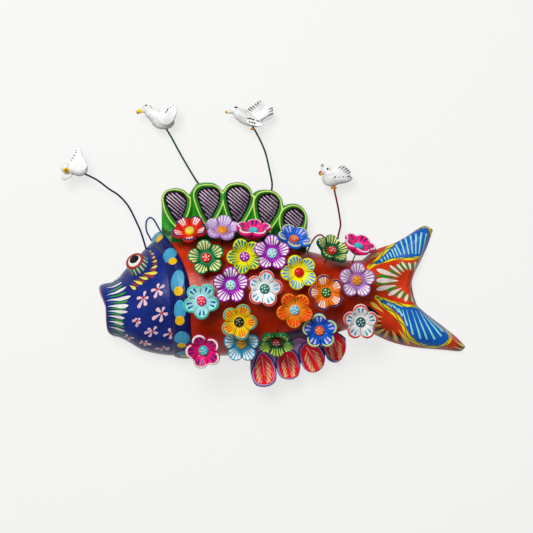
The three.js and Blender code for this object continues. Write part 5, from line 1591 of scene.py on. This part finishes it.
# The high left bird is a plump dove that looks down, its tail raised
bird("high_left", [
    pinch((-65, -12, 96.2), (10.6, 6.2, 7.4), -6), pinch((-71.8, -12, 100.8), (8.2, 5.6, 6), -42),
    pinch((-75.5, -12, 103), (6.5, 5, 5), -45), pinch((-79.2, -12, 107.2), (5, 4.5, 4.4)),
    pinch((-83.4, -12, 105.8), (3.2, 2, 2), 24),
    wing([(-70, 100), (-66, 104.2), (-60, 108.4), (-55.5, 111.2), (-52.6, 109.6), (-51.9, 105), (-53.6, 99),
          (-57, 94), (-62, 92), (-68, 95)], -17.4),
    wing([(-71, 96.5), (-65, 100.4), (-58, 106.2), (-54, 109), (-52.6, 105), (-55.4, 97), (-60, 92)],
         -8, -0.1),
], beak=((-86.2, -12.6, 105), (2.9, 2.2, 2), 32), tip=(-88, -12.6, 104, 1.9), ink=[
    (-61.4, 104.6, -62.2, 103.6), (-60, 106, -60.7, 105.2), (-59.6, 107.4, -60.2, 106.6),
    (-57.6, 108.4, -58, 107.9), (-55.3, 110, -55.6, 109.7),
], eye=(-80, 110, 0.85, 0.85))

# The high right bird is slender, with its far wing up and its near wing along its side
bird("high_right", [
    pinch((9, -12, 99.6), (12.6, 5.6, 6.2), -30), pinch((15.6, -12, 96), (8.8, 5.2, 4.7), -14),
    pinch((-0.2, -12, 106.2), (4.7, 4.2, 3.9), 0), pinch((-4.4, -12, 105), (3.6, 2.2, 1.9), 10),
    pinch((25, -12, 99.6), (9.6, 4.4, 2.4), 30),
    wing([(11, 104), (11, 107), (16.6, 111.2), (22.2, 114.9), (24, 114), (28, 110.5), (33, 108), (30, 102),
          (21, 100)], -9.6, -0.1),
    wing([(24, 102), (29.5, 107.4), (33.2, 109.2), (34, 106.8), (34.2, 103), (33.8, 100.4), (29, 97.4),
          (24, 96)], -12.6),
    wing([(8.4, 100), (12, 98.8), (18, 97), (22.8, 94.8), (26, 91.8), (24, 90.9), (18, 91.4), (11.6, 93.6)],
         -18.2, 0.12),
], beak=((-6.8, -12, 104.6), (2.3, 1.5, 1.5), 12), tip=(-8.6, -12, 104.4, 1.5), ink=[
    (15.2, 105, 11.5, 107.6), (16.6, 106.6, 13.2, 109), (18.2, 108, 15.2, 110.6), (20, 109.8, 17.4, 112.2),
    (21.6, 111, 19.6, 113.6), (22, 114.6, 22.4, 114.2),
    (29.6, 106.8, 33.4, 108), (30.2, 104.2, 34, 106.2), (30, 101, 33.6, 103),
    (10.2, 98, 13.9, 98, 0.8), (13.7, 98, 16.6, 96.9, 0.8), (18.3, 96.6, 21, 95.6, 0.8),
    (12, 95.9, 13.2, 94.6, 0.75), (14.4, 95.3, 15.6, 94, 0.75), (16.6, 94.9, 17.8, 93.6, 0.75),
], eye=(0.6, 108.3, 1.4, 0.85), foot=((15.4, -12.8, 89.2), (2, 1.6, 1.1), 0))

# The right bird looks back over its shoulder, its near wing raised over its tail
bird("right", [
    pinch((86.6, -14, 44.4), (8.6, 5.6, 7)), pinch((94.4, -14, 44.2), (10.6, 5.2, 4.4), 5),
    pinch((81.4, -14, 51.4), (5, 4.6, 4.4)),
    wing([(79, 50), (77.2, 54.4), (77.6, 58), (79.2, 57.4), (81.4, 54), (82, 50)], -10.8),
    wing([(82, 48), (86, 51.4), (92, 54.4), (97.2, 55.6), (100.8, 53.2), (103.2, 50.4), (103.4, 48.2),
          (98, 45), (90, 43)], -18),
    wing([(96, 47.6), (101, 46.8), (104.6, 46), (105.8, 44.6), (104, 42.6), (99, 40.8), (94, 40)], -14),
], beak=((76.6, -14.6, 49.2), (1.9, 1.7, 2.1), 0), tip=(76, -15.6, 50.4, 1.6), ink=[
    (92.2, 53.4, 95.4, 55.6), (94.4, 52.2, 98, 55.2), (96.4, 50.8, 100.2, 53.8), (97.8, 49.4, 101.6, 52),
    (99.6, 47.8, 103, 50.4), (88.6, 44.6, 89.9, 46), (92.9, 45.3, 93.2, 45.5), (96.4, 45.6, 96.7, 45.8),
    (101, 45.8, 101.5, 46), (103, 45, 103.3, 45.2),
], eye=(82.8, 52.9, 0.95, 0.9), foot=((88.4, -13.6, 36.4), (2.9, 2, 1.3), 0), grey=[(77.9, 57.2, 2.1)])

# Backdrop, lights and camera: a pale wall just behind the fish, a wide soft lamp in front of it a little
# up on the left, and an even fill; seen from behind, the wall lets the back show through.
WALL_Y = 0.9 * MM
WALL_SIZE = 6
WALL_GLOW = 0.78


def wall_material():
    """Flat pale paint; the camera sees it near white from the front, and not at all from behind"""
    material = bpy.data.materials.new("wall_paint")
    material.use_nodes = True
    tree = material.node_tree
    shader, output = tree.nodes["Principled BSDF"], tree.nodes["Material Output"]
    shader.inputs["Base Color"].default_value = srgb("F1F1EF")
    shader.inputs["Roughness"].default_value = 0.9
    rays = add(tree, "ShaderNodeLightPath").outputs
    back = add(tree, "ShaderNodeNewGeometry").outputs["Backfacing"]
    seen = maths(tree, "MAXIMUM", rays["Is Camera Ray"], rays["Is Glossy Ray"])
    front = maths(tree, "MULTIPLY", seen, maths(tree, "SUBTRACT", 1.0, back))
    glow = add(tree, "ShaderNodeEmission", {"Color": srgb("F8F8F6")}).outputs[0]
    pale = add(tree, "ShaderNodeMixShader", {0: WALL_GLOW, 1: shader.outputs[0], 2: glow}).outputs[0]
    clear = add(tree, "ShaderNodeBsdfTransparent").outputs[0]
    mix = add(tree, "ShaderNodeMixShader", {0: front, 1: clear, 2: pale})
    tree.links.new(mix.outputs[0], output.inputs["Surface"])
    return material


wall_mesh = bpy.data.meshes.new("wall")
wall_corners = [(-WALL_SIZE, WALL_Y, -WALL_SIZE), (WALL_SIZE, WALL_Y, -WALL_SIZE),
                (WALL_SIZE, WALL_Y, WALL_SIZE), (-WALL_SIZE, WALL_Y, WALL_SIZE)]
wall_mesh.from_pydata(wall_corners, [], [(0, 1, 2, 3)])
wall = show("wall", wall_mesh)
wall.data.materials.append(wall_material())


LAMP_PLACE = Vector((-0.35, -1.45, 0.62))
LAMP_TARGET = Vector((0.02, 0, -0.03))
LAMP_SIZE = 0.8
LAMP_POWER = 23.5
FILL_LIGHT = 0.22
light = bpy.data.lights.new("key_lamp", "AREA")
light.shape = "RECTANGLE"
light.size = light.size_y = LAMP_SIZE
light.energy = LAMP_POWER
lamp = show("key_lamp", light)
lamp.location = LAMP_PLACE
lamp.rotation_euler = (LAMP_TARGET - LAMP_PLACE).to_track_quat("-Z", "Y").to_euler()
world = bpy.data.worlds.new("studio")
bpy.context.scene.world = world
world.use_nodes = True
fill = world.node_tree.nodes["Background"].inputs
fill["Color"].default_value = (1, 1, 1, 1)
fill["Strength"].default_value = FILL_LIGHT

# The camera sees VIEW_WIDTH mm of the plane that lies VIEW_DISTANCE mm ahead, inside the fish
CAMERA_PLACE = (28.16 * MM, -1320 * MM, -34.42 * MM)
VIEW_WIDTH = 476.5
VIEW_DISTANCE = 1300
SENSOR_WIDTH = 36
camera_data = bpy.data.cameras.new("camera")
camera_data.sensor_width = SENSOR_WIDTH
camera_data.lens = SENSOR_WIDTH * VIEW_DISTANCE / VIEW_WIDTH
camera = show("camera", camera_data)
camera.location = CAMERA_PLACE
camera.rotation_euler = (math.pi / 2, 0, 0)
bpy.context.scene.camera = camera
bpy.context.scene.view_settings.view_transform = "Standard"
